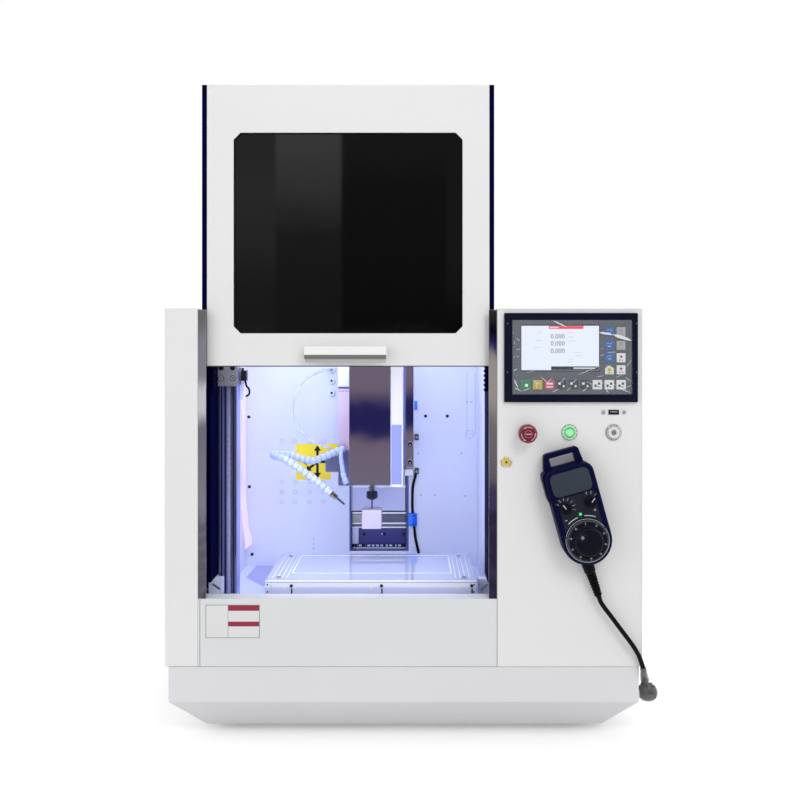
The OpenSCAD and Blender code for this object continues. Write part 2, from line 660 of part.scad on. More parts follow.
cover_y = spindle_y - 35;
cover_t = 1.2;
module spindle_cover() color("lightgray") to_frame() {
  slab(cover_l, cover_r, cover_y, cover_y + cover_t, head_z, head_z + head_h);
  slab(cover_l, cover_l + cover_t, cover_y, cover_y + 100, head_z, head_z + head_h);
  slab(cover_r - cover_t, cover_r, cover_y, cover_y + 100, head_z, head_z + head_h);
  slab(cover_l, cover_r, cover_y, cover_y + 100, head_z + head_h - cover_t, head_z + head_h);
}
module head_box() color("white") to_frame() difference() {
  slab(cover_r + 0.2, axis_x + 47, cover_y + 2, wall_y - 6, head_z - 3, head_z + head_h);
  slab(cover_r + 0.2 + cover_t, axis_x + 47 - cover_t, cover_y + 2 + cover_t, wall_y, head_z - 3 + cover_t,
    head_z + head_h - cover_t);
}
tool_z = 289;
module spindle_nose() color("dimgray") to_frame() translate([spindle_x, spindle_y, tool_z]) {
  turned([
    [0, 0], [1.4, 0], [1.4, 24], [6, 24], [9, 26], [9, 37], [6.5, 39], [6.5, head_z + 2 - tool_z - seam],
    [0, head_z + 2 - tool_z - seam]
  ]);
}
guard_w = 32;
module tip_guard() color("white") to_frame() difference() {
  slab(spindle_x - guard_w / 2, spindle_x + guard_w / 2, spindle_y - 14, spindle_y + 14, 267, 298);
  along_z(tool_z, 300, spindle_x, spindle_y, 1.42);
}
module coolant_manifold() color("lightsteelblue") to_frame() {
  slab(arm_l - 48.5, arm_l - 24.5, 215, 231, 350, 378);
  along_z(378, 383, arm_l - 40, 223, 3);
}
module coolant_hose() color("lightsteelblue") to_frame() {
  path = curve(HOSE, 8);
  tube(path, [for (i = [0 : len(path) - 1]) i % 3 == 0 ? 6.3 : (i % 3 == 1 ? 5 : 4.4)], [0, 0, 1], 12);
  branch = curve(BRANCH, 5);
  tube(branch, [for (i = [0 : len(branch) - 1]) 3 + 2.5 * i / (len(branch) - 1)], [0, 0, 1], 12);
  translate([-123, 158, 327]) rotate([0, 131, 12]) turned([
    [0, 1], [5.5, 1], [5.5, 6], [4, 8], [4, 15], [1.6, 20], [1.6, 34], [0, 34]
  ]);
}
module air_tube() color([0.8, 0.9, 1, 0.5]) to_frame() cord(TUBE, 5, tube_r, [0, 1, 0.3]);
module head_cable() color("black") to_frame() {
  cord(CABLE, 3, cable_r, [0, 1, 0]);
  for (z = clip_z) slab(17.6, 25.2, wall_y - 9, wall_y, z, z + 10);
  slab(5.5, 22, wall_y - 10, wall_y, 239, 262);
}

// ---- electrics ----
psu_w = 115;
psu_l = 215;
psu_h = 50;
psu_x = base_w / 2 - 53.5;
psu_y = cab_d - 65;
vent_pitch = 19;
vent_l = 8;
module power_supply() color("silver") to_frame() difference() {
  slab(psu_x - psu_w, psu_x, psu_y - psu_l, psu_y, deck_z, deck_z + psu_h);
  for (k = [1 : 10])
    slab(psu_x - psu_w + 10, psu_x - 10, psu_y - k * vent_pitch - vent_l, psu_y - k * vent_pitch,
      deck_z + psu_h - 2, deck_z + psu_h + 1);
}
drive_w = 34;
drive_l = 56;
drive_h = 100;
drive_z = 330;
drive_y = 80;
drive_pitch = 70;
fin_pitch = 7;
fin_deep = 10;
module driver_box() color("dimgray") to_frame()
  for (k = [0 : 2]) translate([side_x - sheet - drive_w, drive_y + k * drive_pitch, drive_z]) difference() {
    cube([drive_w, drive_l, drive_h]);
    for (j = [0 : 6]) translate([-1, 4 + fin_pitch * j, -1]) cube([fin_deep + 1, 3, drive_h + 2]);
  }

// ---- control column ----
film_left = 10.9;
film_right = 9;
film_edge = 10.3;
screen_left = 13.5;
key_w = 46.6;
film_w = ctrl_w - film_left - film_right;
film_h = ctrl_h - 2 * film_edge;
film_x = ctrl_x + (film_left - film_right) / 2;
film_z = ctrl_z + 0.6;
screen_w = film_w - screen_left - key_w;
screen_h = 63.6;
screen_x = film_x - film_w / 2 + screen_left + screen_w / 2;
screen_z = film_z + 13.2;
module controller_case() color([0.05, 0.05, 0.12]) to_frame() difference() {
  union() {
    upright(ctrl_x, ctrl_z, -5, 0) round_rect(ctrl_w, ctrl_h, 1.5);
    upright(ctrl_x, ctrl_z, 0, 42) square([ctrl_body_w, ctrl_body_h], center = true);
  }
  upright(film_x, film_z, -6, -4.2) square([film_w, film_h], center = true);
  upright(screen_x, screen_z, -6, -2) square([screen_w + 0.2, screen_h + 0.2], center = true);
}
module controller_screen() color("white") to_frame()
  upright(screen_x, screen_z, -4, -2) square([screen_w, screen_h], center = true);
module usb_socket() color("silver") to_frame() {
  difference() {
    upright(usb_x, usb_z, -0.8, 18) square([15.6, 7], center = true);
    upright(usb_x, usb_z, -2, 12) square([13.2, 4.9], center = true);
  }
  for (s = [-1, 1]) outward(usb_x + s * 14.8, 0, usb_z) turned([[0, 0], [3.5, 0], [3.2, 1], [0, 1.6]]);
  slab(usb_x - 19, usb_x + 19, sheet, sheet + 1.5, usb_z - 6, usb_z - 3.6);
}
// A ring on the panel's face with its threaded neck behind, bored for a cap
module panel_ring(x, z, ring, neck, hole) difference() {
  union() {
    outward(x, 0, z) turned([[0, 0], [ring, 0], [ring, 1], [ring - 0.8, 2], [0, 2]]);
    along_y(0, 24, x, z, neck);
  }
  along_y(-3, 18, x, z, hole);
}
cap_r = ring_r - 3.2;
module panel_rings() color("silver") to_frame() {
  panel_ring(estop_x, button_z, ring_r, neck_r, 6.3);
  panel_ring(green_x, button_z, ring_r, neck_r, cap_r + 0.3);
  panel_ring(white_x, button_z, ring_r, neck_r, cap_r + 0.3);
  panel_ring(yellow_x, yellow_z, yellow_r, yellow_r - 1.5, 3.8);
}
module button_cap(x, z, r, rise) outward(x, press + 1.5, z)
  turned([[0, 0], [r, 0], [r, press + rise + 0.9], [r - 0.6, press + rise + 1.5], [0, press + rise + 1.5]]);
module estop_button() color("firebrick") to_frame() outward(estop_x, press + 3, button_z) turned([
  [0, 0], [6, 0], [6, press + 12], [12, press + 14], [13.6, press + 18], [13.6, press + 23],
  [12, press + 27], [0, press + 29]
]);
module green_button() color("limegreen") to_frame() button_cap(green_x, button_z, cap_r, 3.2);
module white_button() color("white") to_frame() button_cap(white_x, button_z, cap_r, 3.2);
module yellow_button() color("gold") to_frame() button_cap(yellow_x, yellow_z, 3.5, 2.6);

// ---- pendant ----
// Lies flat on the control panel: own X across, own Y along it, own Z out of the panel
module on_pendant() translate([pend_x, 0, pend_z]) rotate([0, -pend_tilt, 0]) rotate([90, 0, 0]) children();
pend_top = 107;
pend_corner = 14;
face_t = pend_gap + pend_t;
relief_l = 52;
relief_u = -6;
relief_w = 10;
relief_lean = 3.5;
enable_v = 84;
module pendant_body() color([0.06, 0.06, 0.16]) to_frame() on_pendant() {
  difference() {
    union() {
      translate([0, 0, 4]) linear_extrude(pend_t - 7) {
        circle(pend_r);
        translate([-pend_r, 0]) square([2 * pend_r, pend_top - pend_corner]);
        translate([-pend_r + pend_corner, 0]) square([2 * (pend_r - pend_corner), pend_top]);
        for (s = [-1, 1]) translate([s * (pend_r - pend_corner), pend_top - pend_corner]) circle(pend_corner);
        translate([relief_u - 9, -pend_r - 1]) square([18, 12]);
      }
      translate([0, 0, pend_t - 3]) linear_extrude(4) {
        circle(pend_r - 3);
        translate([-pend_r + 3, 0]) square([2 * pend_r - 6, pend_top - pend_corner]);
        translate([-pend_r + pend_corner, 0]) square([2 * (pend_r - pend_corner), pend_top - 3]);
        for (s = [-1, 1]) translate([s * (pend_r - pend_corner), pend_top - pend_corner]) circle(pend_corner - 3);
      }
      for (v = [-12, 72]) translate([0, v, 0]) cylinder(h = 4, r = 10);
      translate([0, 0, 8]) linear_extrude(12) difference() {
        offset(5) offset(-5)
          polygon([[-31.5, pend_top - 12], [-31.5, 109], [-26, 129.5], [23.5, 129.5], [26, 107], [29, pend_top - 12]]);
        translate([-20, 108.8]) square([35.5, 13.6]);
      }
    }
    translate([-pend_r - 1, enable_v - 10, 12]) cube([7, 20, 9]);
  }
}
module pendant_wheel() color([0.08, 0.08, 0.14]) to_frame() on_pendant() translate([0, 0, face_t + seam]) {
  turned([
    [0, 0], [dial_r, 0], [dial_r, 3], [dial_r - 1.5, 4.5], [21.5, 4.5], [20, 6], [19, 11.5], [17, 12.5], [0, 11.5]
  ]);
  translate([-9, 8, 10]) cylinder(h = wheel_rise - 10 - seam, r = 4.5);
}
axis_lean = 25;
step_lean = -50;
module selector(lean) rotate([0, 0, lean]) {
  cylinder(h = 7, r = 8.5);
  translate([-1.6, -8, 7]) cube([3.2, 16, 3]);
}
knob_u = 18;
knob_v = 52;
module pendant_axis_knob() color("black") to_frame() on_pendant() translate([-knob_u, knob_v, face_t + seam])
  selector(axis_lean);
module pendant_step_knob() color("black") to_frame() on_pendant() translate([knob_u, knob_v, face_t + seam])
  selector(step_lean);
module pendant_enable() color("black") to_frame() on_pendant()
  translate([-pend_r - 2.5, enable_v - 9.7, 12.3]) cube([5, 19.4, 8.4]);
module pendant_relief() color("black") to_frame() on_pendant()
  translate([relief_u, -pend_r - 1, relief_w]) rotate([0, 0, relief_lean]) rotate([90, 0, 0]) {
    turned([[0, 0.6], [8.5, 0.6], [7.8, 14], [4.6, 16], [4.2, relief_l], [0, relief_l]]);
    for (k = [0 : 7]) translate([0, 0, 17 + 4.2 * k]) cylinder(h = 2.2, r = 6.9 - 0.2 * k);
  }
module pendant_cord() color("black") to_frame() cord(CORD, 4, cord_r, [0, 1, 0]);
module plug_socket() color("silver") to_frame() difference() {
  union() {
    along_x(base_w / 2 - 12, base_w / 2, plug_y, plug_z, socket_r);
    along_x(base_w / 2, base_w / 2 + 3, plug_y, plug_z, 11);
  }
  along_x(base_w / 2 - 8, base_w / 2 + 4, plug_y, plug_z, 6.4);
}
module pendant_plug() color("dimgray") to_frame() {
  along_x(base_w / 2 - 7, base_w / 2 + 8, plug_y, plug_z, 6.3);
  translate([base_w / 2 + 5, plug_y, plug_z]) rotate([0, 90, 0]) turned([
    [0, 0], [8, 0], [11, 2.5], [12.5, 6], [12.5, 17], [11, 21], [8, 24], [0, 25]
  ]);
  along_z(plug_z + 8, 74, 352, 19, 5);
}

base_plinth();
rubber_feet();
cabinet_shell();
control_panel();
rear_cover();
front_fascia();
mirror_trim();
chamber_floor();
chamber_back();
chamber_sides();
door_channels();
light_bar();
lift_profile();
lift_screw();
lift_carriage();
door_frame();
door_window();
door_rails();
door_pull();
machine_bed();
linear_rails();
z_column();
axis_motors();
screw_bearings();
saddle();
x_drive();
x_screw();
y_screw();
z_screw();
table_plate();
table_sheet();
head_frame();
spindle_motor();
spindle_cover();
head_box();
spindle_nose();
tip_guard();
coolant_manifold();
coolant_hose();
air_tube();
head_cable();
power_supply();
driver_box();
controller_case();
controller_screen();
usb_socket();
panel_rings();
estop_button();
green_button();
white_button();
yellow_button();
pendant_body();
pendant_wheel();
pendant_axis_knob();
pendant_step_knob();
pendant_enable();
pendant_relief();
pendant_cord();
pendant_plug();
plug_socket();
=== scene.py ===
import json
import math

import bmesh
import bpy
from mathutils import Euler, Matrix, Vector


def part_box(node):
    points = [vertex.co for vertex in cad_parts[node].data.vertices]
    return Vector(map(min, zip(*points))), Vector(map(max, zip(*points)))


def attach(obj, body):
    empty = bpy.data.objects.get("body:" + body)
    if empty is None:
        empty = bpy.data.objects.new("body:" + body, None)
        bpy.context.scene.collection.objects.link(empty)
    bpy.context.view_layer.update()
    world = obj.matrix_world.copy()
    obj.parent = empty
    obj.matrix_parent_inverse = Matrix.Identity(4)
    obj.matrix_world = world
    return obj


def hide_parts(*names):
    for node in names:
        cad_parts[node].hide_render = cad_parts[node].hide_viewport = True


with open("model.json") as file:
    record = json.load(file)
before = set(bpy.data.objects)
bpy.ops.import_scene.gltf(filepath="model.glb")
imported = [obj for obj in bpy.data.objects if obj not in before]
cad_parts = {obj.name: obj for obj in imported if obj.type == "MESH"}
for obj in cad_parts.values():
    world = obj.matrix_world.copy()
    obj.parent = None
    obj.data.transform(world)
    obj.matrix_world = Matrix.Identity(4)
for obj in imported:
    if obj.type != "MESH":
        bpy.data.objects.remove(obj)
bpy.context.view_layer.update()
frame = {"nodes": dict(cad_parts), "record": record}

MM = 0.001
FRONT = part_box("control_panel")[0].y
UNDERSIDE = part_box("base_plinth")[0].z
TO_FRAME = Matrix.Translation((0, FRONT, UNDERSIDE)) @ Matrix.Scale(MM, 4)
HERE = Matrix.Identity(4)
FLAT = Euler((0, 0, 0))      # how a stud or a bar stands: upright on a level face
WALL = Euler((math.pi / 2, 0, 0))


def at(across, back, up):
    """A point in the frame from millimetres across, back from the front face and up from the base."""
    return TO_FRAME @ Vector((across, back, up))


def shift(x=0.0, y=0.0, z=0.0):
    return Matrix.Translation((x, y, z))


def turn(degrees, axis):
    return Matrix.Rotation(math.radians(degrees), 4, axis)


OUT = turn(90, "X")          # own Z looks out of the cabinet's front


def outward(x, y, z):
    return shift(x, y, z) @ OUT


def arc(radius, degrees, x=0, y=0):
    """Points around a centre, one at each angle."""
    return [(x + radius * math.cos(math.radians(a)), y + radius * math.sin(math.radians(a))) for a in degrees]


def ring_outline(radius, steps=64):
    return [(radius * math.cos(2 * math.pi * k / steps), radius * math.sin(2 * math.pi * k / steps))
            for k in range(steps)]


def drum(radius, low, high):
    """The profile of a plain cylinder."""
    return [(0, low), (radius, low), (radius, high), (0, high)]


def grid(xs, y, zs):
    return [(x, y, z) for x in xs for z in zs]


def moved(points, dx=0, dy=0, dz=0):
    return [(x + dx, y + dy, z + dz) for x, y, z in points]


def linked(name, data):
    thing = bpy.data.objects.new(name, data)
    bpy.context.scene.collection.objects.link(thing)
    return thing


def evaluated_mesh(thing):
    return bpy.data.meshes.new_from_object(thing.evaluated_get(bpy.context.evaluated_depsgraph_get()))


# ---------------------------------------------------------------- camera, lamps, floor
def set_camera():
    data = bpy.data.cameras.new("camera")
    data.sensor_width, data.lens = 36, 36.05
    data.shift_x, data.shift_y = -0.0125, -0.064
    camera = linked("camera", data)
    camera.location = at(9.3, -1150, 560)
    camera.rotation_euler = (math.pi / 2, 0, 0)
    bpy.context.scene.camera = camera


def area_lamp(name, place, target, size, watts, colour=(1, 1, 1), glossy=False):
    data = bpy.data.lights.new(name, "AREA")
    data.shape = "RECTANGLE"
    data.size, data.size_y = size
    data.energy, data.color = watts, colour
    lamp = linked(name, data)
    lamp.location = place
    lamp.rotation_euler = (Vector(target) - Vector(place)).to_track_quat("-Z", "Y").to_euler()
    lamp.visible_glossy = glossy


class Tree:
    """Adds nodes to a node tree; an input is given a value, or another node's output to link."""

    def __init__(self, tree):
        self.tree = tree

    def add(self, kind, inputs=None, **settings):
        node = self.tree.nodes.new(kind)
        for key, value in settings.items():
            setattr(node, key, value)
        for key, value in (inputs or {}).items():
            if isinstance(value, bpy.types.NodeSocket):
                self.tree.links.new(value, node.inputs[key])
            else:
                node.inputs[key].default_value = value
        return node

    def out(self, kind, inputs=None, **settings):
        """A new node's first output."""
        return self.add(kind, inputs, **settings).outputs[0]

    def math(self, operation, a, b=0.0):
        return self.out("ShaderNodeMath", {0: a, 1: b}, operation=operation)

    def times(self, a, b):
        return self.math("MULTIPLY", a, b)

    def place(self):
        return self.add("ShaderNodeTexCoord").outputs["Object"]

    def spread(self, value, low, high, out_low=0.0, out_high=1.0):
        return self.out("ShaderNodeMapRange", {
            "Value": value, "From Min": low, "From Max": high, "To Min": out_low, "To Max": out_high})

    def noise(self, vector, scale, detail=2.0, distortion=0.0):
        return self.add("ShaderNodeTexNoise", {
            "Vector": vector, "Scale": scale, "Detail": detail, "Distortion": distortion}).outputs["Fac"]

    def direct_rays(self, path):
        """One for what the camera sees, straight or through something clear."""
        return self.math("MAXIMUM", path["Is Camera Ray"], path["Is Transmission Ray"])

    def glow(self, **inputs):
        return self.out("ShaderNodeEmission", inputs)


def emptied(owner):
    owner.use_nodes = True
    owner.node_tree.nodes.clear()
    return Tree(owner.node_tree)


def set_world():
    world = bpy.context.scene.world = bpy.data.worlds.new("studio")
    tree = emptied(world)
    path = tree.add("ShaderNodeLightPath").outputs
    seen = tree.math("MAXIMUM", tree.direct_rays(path), tree.times(path["Is Glossy Ray"], 0.8))
    light = tree.out("ShaderNodeBackground", {"Color": (1, 1, 1, 1), "Strength": tree.spread(seen, 0, 1, 0.74, 1.0)})
    tree.add("ShaderNodeOutputWorld", {"Surface": light})


def stage_plane(name, x0, x1, y0, y1, z0, z1, material, glossy_only=True):
    mesh = bpy.data.meshes.new(name)
    mesh.from_pydata([(x0, y0, z0), (x1, y0, z0), (x1, y1, z1), (x0, y1, z1)], [], [(0, 1, 2, 3)])
    mesh.materials.append(material)
    plane = linked(name, mesh)
    if glossy_only:
        plane.visible_camera = plane.visible_diffuse = plane.visible_shadow = False
        plane.visible_transmission = False


def floor_material():
    """Pale paper near the part that fades into the white surroundings."""
    material = bpy.data.materials.new("studio_floor")
    tree = emptied(material)
    path = tree.add("ShaderNodeLightPath").outputs
    away = tree.add("ShaderNodeVectorMath", {0: tree.place()}, operation="LENGTH").outputs["Value"]
    paper = tree.out("ShaderNodeBsdfDiffuse", {"Color": (0.93, 0.93, 0.93, 1)})
    near = tree.out("ShaderNodeAddShader", {0: paper, 1: tree.glow(Strength=tree.times(path[0], 0.26))})
    share = tree.times(tree.direct_rays(path), tree.spread(away, 0.45, 0.95))
    both = tree.out("ShaderNodeMixShader", {0: share, 1: near, 2: tree.glow(Strength=1.0)})
    tree.add("ShaderNodeOutputMaterial", {"Surface": both})
    return material


def room_material(name, bands, ripple):
    """The darker half of the studio, which only polished faces show, in bands from low to high."""
    ceiling = 1.5
    material = bpy.data.materials.new(name)
    tree = emptied(material)
    place = tree.place()
    height = tree.add("ShaderNodeSeparateXYZ", {0: place}).outputs[2]
    blotch = tree.times(tree.math("SUBTRACT", tree.noise(place, 8.0, 4.0, 0.6), 0.5), ripple)
    ramp = tree.add("ShaderNodeValToRGB", {"Fac": tree.math("DIVIDE", tree.math("ADD", height, blotch), ceiling)})
    stops = ramp.color_ramp.elements
    bands = [(level / ceiling, (*tone, 1) if isinstance(tone, tuple) else (tone, tone, tone, 1))
             for level, tone in bands]
    (stops[0].position, stops[0].color), (stops[1].position, stops[1].color) = bands[0], bands[-1]
    for position, colour in bands[1:-1]:
        stops.new(position).color = colour
    tree.add("ShaderNodeOutputMaterial", {"Surface": tree.glow(Color=ramp.outputs[0], Strength=1.0)})
    return material


def set_stage():
    set_world()
    stage_plane("floor", -9, 9, -6, 12, 0, 0, floor_material(), False)
    grey, taupe, beige = (0.29, 0.285, 0.32), (0.20, 0.16, 0.22), (0.42, 0.38, 0.34)
    navy, dusk = (0.022, 0.021, 0.112), (0.058, 0.052, 0.11)
    low_middle = ((0.05, (0.20, 0.185, 0.24)), (0.20, taupe), (0.245, navy), (0.35, navy), (0.42, taupe),
                  (0.60, taupe))
    for side, low, high, floor_tone, bands in (
        ("left", -3.0, -0.47, grey, (
            (0.0, grey), (0.30, (0.20, 0.19, 0.22)), (0.355, 0.75), (0.43, 0.75), (0.46, grey), (0.60, grey),
            (0.68, 0.18), (0.78, 0.20), (0.98, 0.40), (1.15, 0.50), (1.28, 0.42))),
        ("inner_left", -0.47, -0.235, taupe, (
            *low_middle, (0.66, 0.13), (0.78, 0.14), (0.98, 0.20), (1.12, 0.60), (1.28, 0.92))),
        ("middle", -0.235, 0.14, taupe, (*low_middle, (0.66, 0.02), (0.90, 0.05), (1.15, 0.07), (1.28, 0.15))),
        ("right", 0.14, 3.0, dusk, (
            (0.08, dusk), (0.12, (0.16, 0.14, 0.16)), (0.30, (0.22, 0.19, 0.20)), (0.40, beige), (0.52, beige),
            (0.57, navy), (0.64, 0.001), (0.90, 0.15))),
    ):
        stage_plane("room_" + side, low, high, -1.9, -1.9, -0.2, 1.6,
                    room_material("studio_room_" + side, bands, 0.10))
        dim = tuple(0.5 * value for value in floor_tone)
        stage_plane("rug_" + side, max(low, -2), min(high, 2), -1.9, -0.55, 0.001, 0.001,
                    room_material("studio_rug_" + side, ((0.0, dim), (0.04, floor_tone)), 0.2))
    area_lamp("key", (1.1, -2.3, 2.3), (0, 0, 0.45), (1.1, 0.9), 19)
    area_lamp("fill", (-2.2, -1.8, 1.3), (0, 0, 0.4), (1.4, 1.4), 8)
    area_lamp("top", (0.2, 0.3, 2.8), (0, 0, 0.5), (1.6, 1.6), 10)
    area_lamp("rear", (-0.4, 2.6, 1.7), (0, 0, 0.4), (1.8, 1.2), 8)
    area_lamp("chamber", at(-80, 150, 603), at(-80, 120, 165), (0.36, 0.22), 0.63, (0.82, 0.86, 1.0), True)
    area_lamp("chamber_fill", at(-85, 45, 390), at(-85, 308, 340), (0.30, 0.30), 0.60, (0.81, 0.85, 1.0))


# ---------------------------------------------------------------- effects shared by the finishes
def socket_list(tree, side, sockets):
    for name, kind, value in sockets:
        socket = tree.interface.new_socket(name, in_out=side, socket_type="NodeSocket" + kind)
        if value is not None:
            socket.default_value = value


def effect(build):
    """A shader group with the inputs and outputs that every finish uses."""
    group = bpy.data.node_groups.new(build.__name__, "ShaderNodeTree")
    socket_list(group, "INPUT", [
        ("Colour", "Color", (0.8, 0.8, 0.8, 1)), ("Second Colour", "Color", (0.7, 0.7, 0.7, 1)),
        ("Blend", "Float", 0.5), ("Roughness", "Float", 0.4), ("Roughness Spread", "Float", 0.1),
        ("Scale", "Float", 100.0), ("Patch Scale", "Float", 6.0), ("Stretch", "Vector", (1, 1, 1))])
    socket_list(group, "OUTPUT", [("Colour", "Color", None), ("Roughness", "Float", None), ("Height", "Float", None)])
    tree = Tree(group)
    given = tree.add("NodeGroupInput").outputs
    place = tree.out("ShaderNodeVectorMath", {0: tree.place(), 1: given["Stretch"]}, operation="MULTIPLY")
    patch = tree.noise(place, given["Patch Scale"], 3.0, 0.4)
    mask, height = build(tree, given["Scale"], place, patch)
    share = tree.times(tree.spread(mask, 0.3, 0.7), given["Blend"])
    colour = tree.add("ShaderNodeMix", {0: share, 6: given["Colour"], 7: given["Second Colour"]}, data_type="RGBA")
    wander = tree.times(tree.math("SUBTRACT", patch, 0.5), given["Roughness Spread"])
    roughness = tree.math("ADD", given["Roughness"], wander)
    tree.add("NodeGroupOutput", {"Colour": colour.outputs[2], "Roughness": roughness, "Height": height})
    return group


def powder_coat(tree, scale, place, patch):
    """Orange peel of sprayed powder under very faint cloudiness."""
    return patch, tree.noise(place, scale)


def drawn_metal(tree, scale, place, patch):
    """Fine parallel lines along the direction that Stretch leaves short."""
    lines = tree.noise(place, scale, 6.0)
    return lines, lines


def moulded_grain(tree, scale, place, patch):
    """The small pebbles of a spark-eroded mould."""
    cells = tree.add("ShaderNodeTexVoronoi", {"Vector": place, "Scale": scale}).outputs["Distance"]
    return patch, tree.math("ADD", cells, tree.noise(place, scale))


def cast_skin(tree, scale, place, patch):
    """Lumpy painted casting."""
    lumps = tree.noise(place, scale, 5.0, 0.6)
    return tree.math("ADD", tree.times(lumps, 0.5), tree.times(patch, 0.5)), lumps


def creased_film(tree, scale, place, patch):
    """Sharp crossing creases of a loose plastic film."""
    wander = tree.add("ShaderNodeTexNoise", {"Vector": place, "Scale": 30.0}).outputs["Color"]
    bent = tree.out("ShaderNodeVectorMath", {0: place, 1: wander}, operation="ADD")
    ridge = tree.add("ShaderNodeTexNoise", {"Vector": bent, "Scale": scale, "Detail": 3.0},
                     noise_type="RIDGED_MULTIFRACTAL", normalize=True).outputs["Fac"]
    return tree.spread(ridge, 0.45, 0.9), ridge


EFFECTS = {build.__name__: effect(build)
           for build in (powder_coat, drawn_metal, moulded_grain, cast_skin, creased_film)}
M = {}


def finish(name, colour, roughness, effect_name="moulded_grain", second=None, blend=0.4, scale=900.0,
           patch=6.0, spread=0.1, stretch=(1, 1, 1), bump=0.1, depth=0.0002, **sockets):
    """A material: one effect group feeds the Principled BSDF, and plain numbers sit on its own sockets."""
    material = M[name] = bpy.data.materials.new(name)
    material.use_nodes = True
    tree = Tree(material.node_tree)
    shader = material.node_tree.nodes["Principled BSDF"]
    second = second or tuple(value * 0.82 for value in colour)
    group = tree.add("ShaderNodeGroup", node_tree=EFFECTS[effect_name])
    for key, value in {"Colour": (*colour, 1), "Second Colour": (*second, 1), "Blend": blend,
                       "Roughness": roughness, "Roughness Spread": spread, "Scale": scale,
                       "Patch Scale": patch, "Stretch": stretch}.items():
        group.inputs[key].default_value = value
    relief = tree.out("ShaderNodeBump", {"Height": group.outputs["Height"], "Strength": bump, "Distance": depth})
    for source, socket in ((group.outputs["Colour"], "Base Color"), (group.outputs["Roughness"], "Roughness"),
                           (relief, "Normal")):
        tree.tree.links.new(source, shader.inputs[socket])
    for key, value in sockets.items():
        socket = shader.inputs[key.replace("_", " ")]
        socket.default_value = (*value, 1) if isinstance(value, tuple) else value


def coated(name, colour, roughness=0.34, **more):
    finish(name, colour, roughness, "powder_coat", **{
        "second": tuple(value * 0.955 for value in colour), "blend": 0.6, "scale": 1300.0, "patch": 3.0,
        "spread": 0.08, "bump": 0.12, "depth": 0.0001, **more})


def metal(name, colour, roughness, stretch=(60, 60, 1), **more):
    finish(name, colour, roughness, "drawn_metal", **{
        "blend": 0.5, "scale": 40.0, "patch": 5.0, "stretch": stretch, "bump": 0.05, "depth": 0.0001,
        "Metallic": 1.0, **more})


def lit(name, colour, strength):
    finish(name, colour, 0.3, blend=0.15, Emission_Color=colour, Emission_Strength=strength)


for name, *look in (
    ("cabinet_paint", (0.81, 0.81, 0.81)), ("base_paint", (0.745, 0.745, 0.765)),
    # the pull's paint is lighter than the door's: a painted highlight on the pull
    ("sill_paint", (0.74, 0.752, 0.757)), ("pull_paint", (0.90, 0.90, 0.90)),
    ("table_paint", (0.62, 0.66, 0.95), 0.22), ("apron_light", (0.80, 0.83, 0.98), 0.25),
    ("apron_dark", (0.36, 0.42, 0.92), 0.25), ("head_paint", (0.50, 0.50, 0.72), 0.30),
    ("skirt_paint", (0.60, 0.63, 0.92), 0.3), ("cheek_paint", (0.80, 0.86, 0.99), 0.3),
    ("floor_shade", (0.42, 0.44, 0.78), 0.3), ("motor_black", (0.012, 0.012, 0.016), 0.42),
):
    coated(name, *look)
# the liner is white sheet: its lavender tint is painted light from the chamber's blue LEDs
coated("liner_paint", (0.74, 0.78, 0.97), 0.30, second=(0.69, 0.74, 0.97), patch=2.2, blend=0.9)
coated("head_shade", (0.17, 0.20, 0.64), 0.4, Specular_IOR_Level=0.2)
coated("black_anodised", (0.0002, 0.0002, 0.024), 0.6, second=(0.0004, 0.0004, 0.036), Specular_IOR_Level=0.03)
for name, colour, roughness, stretch, metallic in (
    ("carriage_plate", (0.60, 0.61, 0.70), 0.42, (60, 60, 1), 0.5),
    ("drawn_aluminium", (0.52, 0.54, 0.66), 0.30, (60, 60, 1), 1.0),
    ("profile_metal", (0.38, 0.42, 0.90), 0.30, (60, 60, 1), 0.75),
    ("dark_groove", (0.035, 0.038, 0.075), 0.45, (60, 60, 1), 1.0),
    ("lavender_plate", (0.60, 0.64, 0.90), 0.34, (60, 60, 1), 1.0),
    ("bare_sheet", (0.56, 0.57, 0.58), 0.40, (60, 60, 1), 1.0),
    ("ground_steel", (0.64, 0.65, 0.72), 0.22, (1, 1, 30), 1.0),
    ("lift_steel", (0.56, 0.58, 0.84), 0.30, (1, 1, 30), 0.35),
    ("blackened_steel", (0.035, 0.035, 0.075), 0.32, (1, 1, 30), 0.6),
    ("cutter_steel", (0.30, 0.30, 0.42), 0.25, (1, 1, 40), 1.0),
    ("slot_metal", (0.20, 0.20, 0.28), 0.34, (1, 1, 60), 0.3),
    ("nozzle_brass", (0.55, 0.45, 0.30), 0.28, (30, 30, 30), 1.0),
    ("button_dome", (0.30, 0.29, 0.26), 0.3, (1, 1, 1), 0.3),
):
    metal(name, colour, roughness, stretch, Metallic=metallic)
metal("mirror_steel", (0.74, 0.72, 0.76), 0.05, bump=0.015, blend=0.25, spread=0.04)
metal("chrome_ring", (0.86, 0.87, 0.86), 0.30, stretch=(1, 1, 1), blend=0.2, Metallic=0.5)
finish("grey_casting", (0.10, 0.115, 0.16), 0.5, "cast_skin", scale=260.0, bump=0.35, depth=0.0005)
finish("tinted_pane", (0.003, 0.003, 0.0032), 0.03, blend=0.3, bump=0.01, patch=4.0, spread=0.03,
       Specular_IOR_Level=0.45)
finish("clear_acrylic", (0.66, 0.71, 0.97), 0.06, "powder_coat", second=(0.58, 0.64, 0.95), scale=30.0,
       bump=0.02, spread=0.04, Transmission_Weight=0.35, IOR=1.49, Coat_Weight=0.8, Coat_Roughness=0.03)
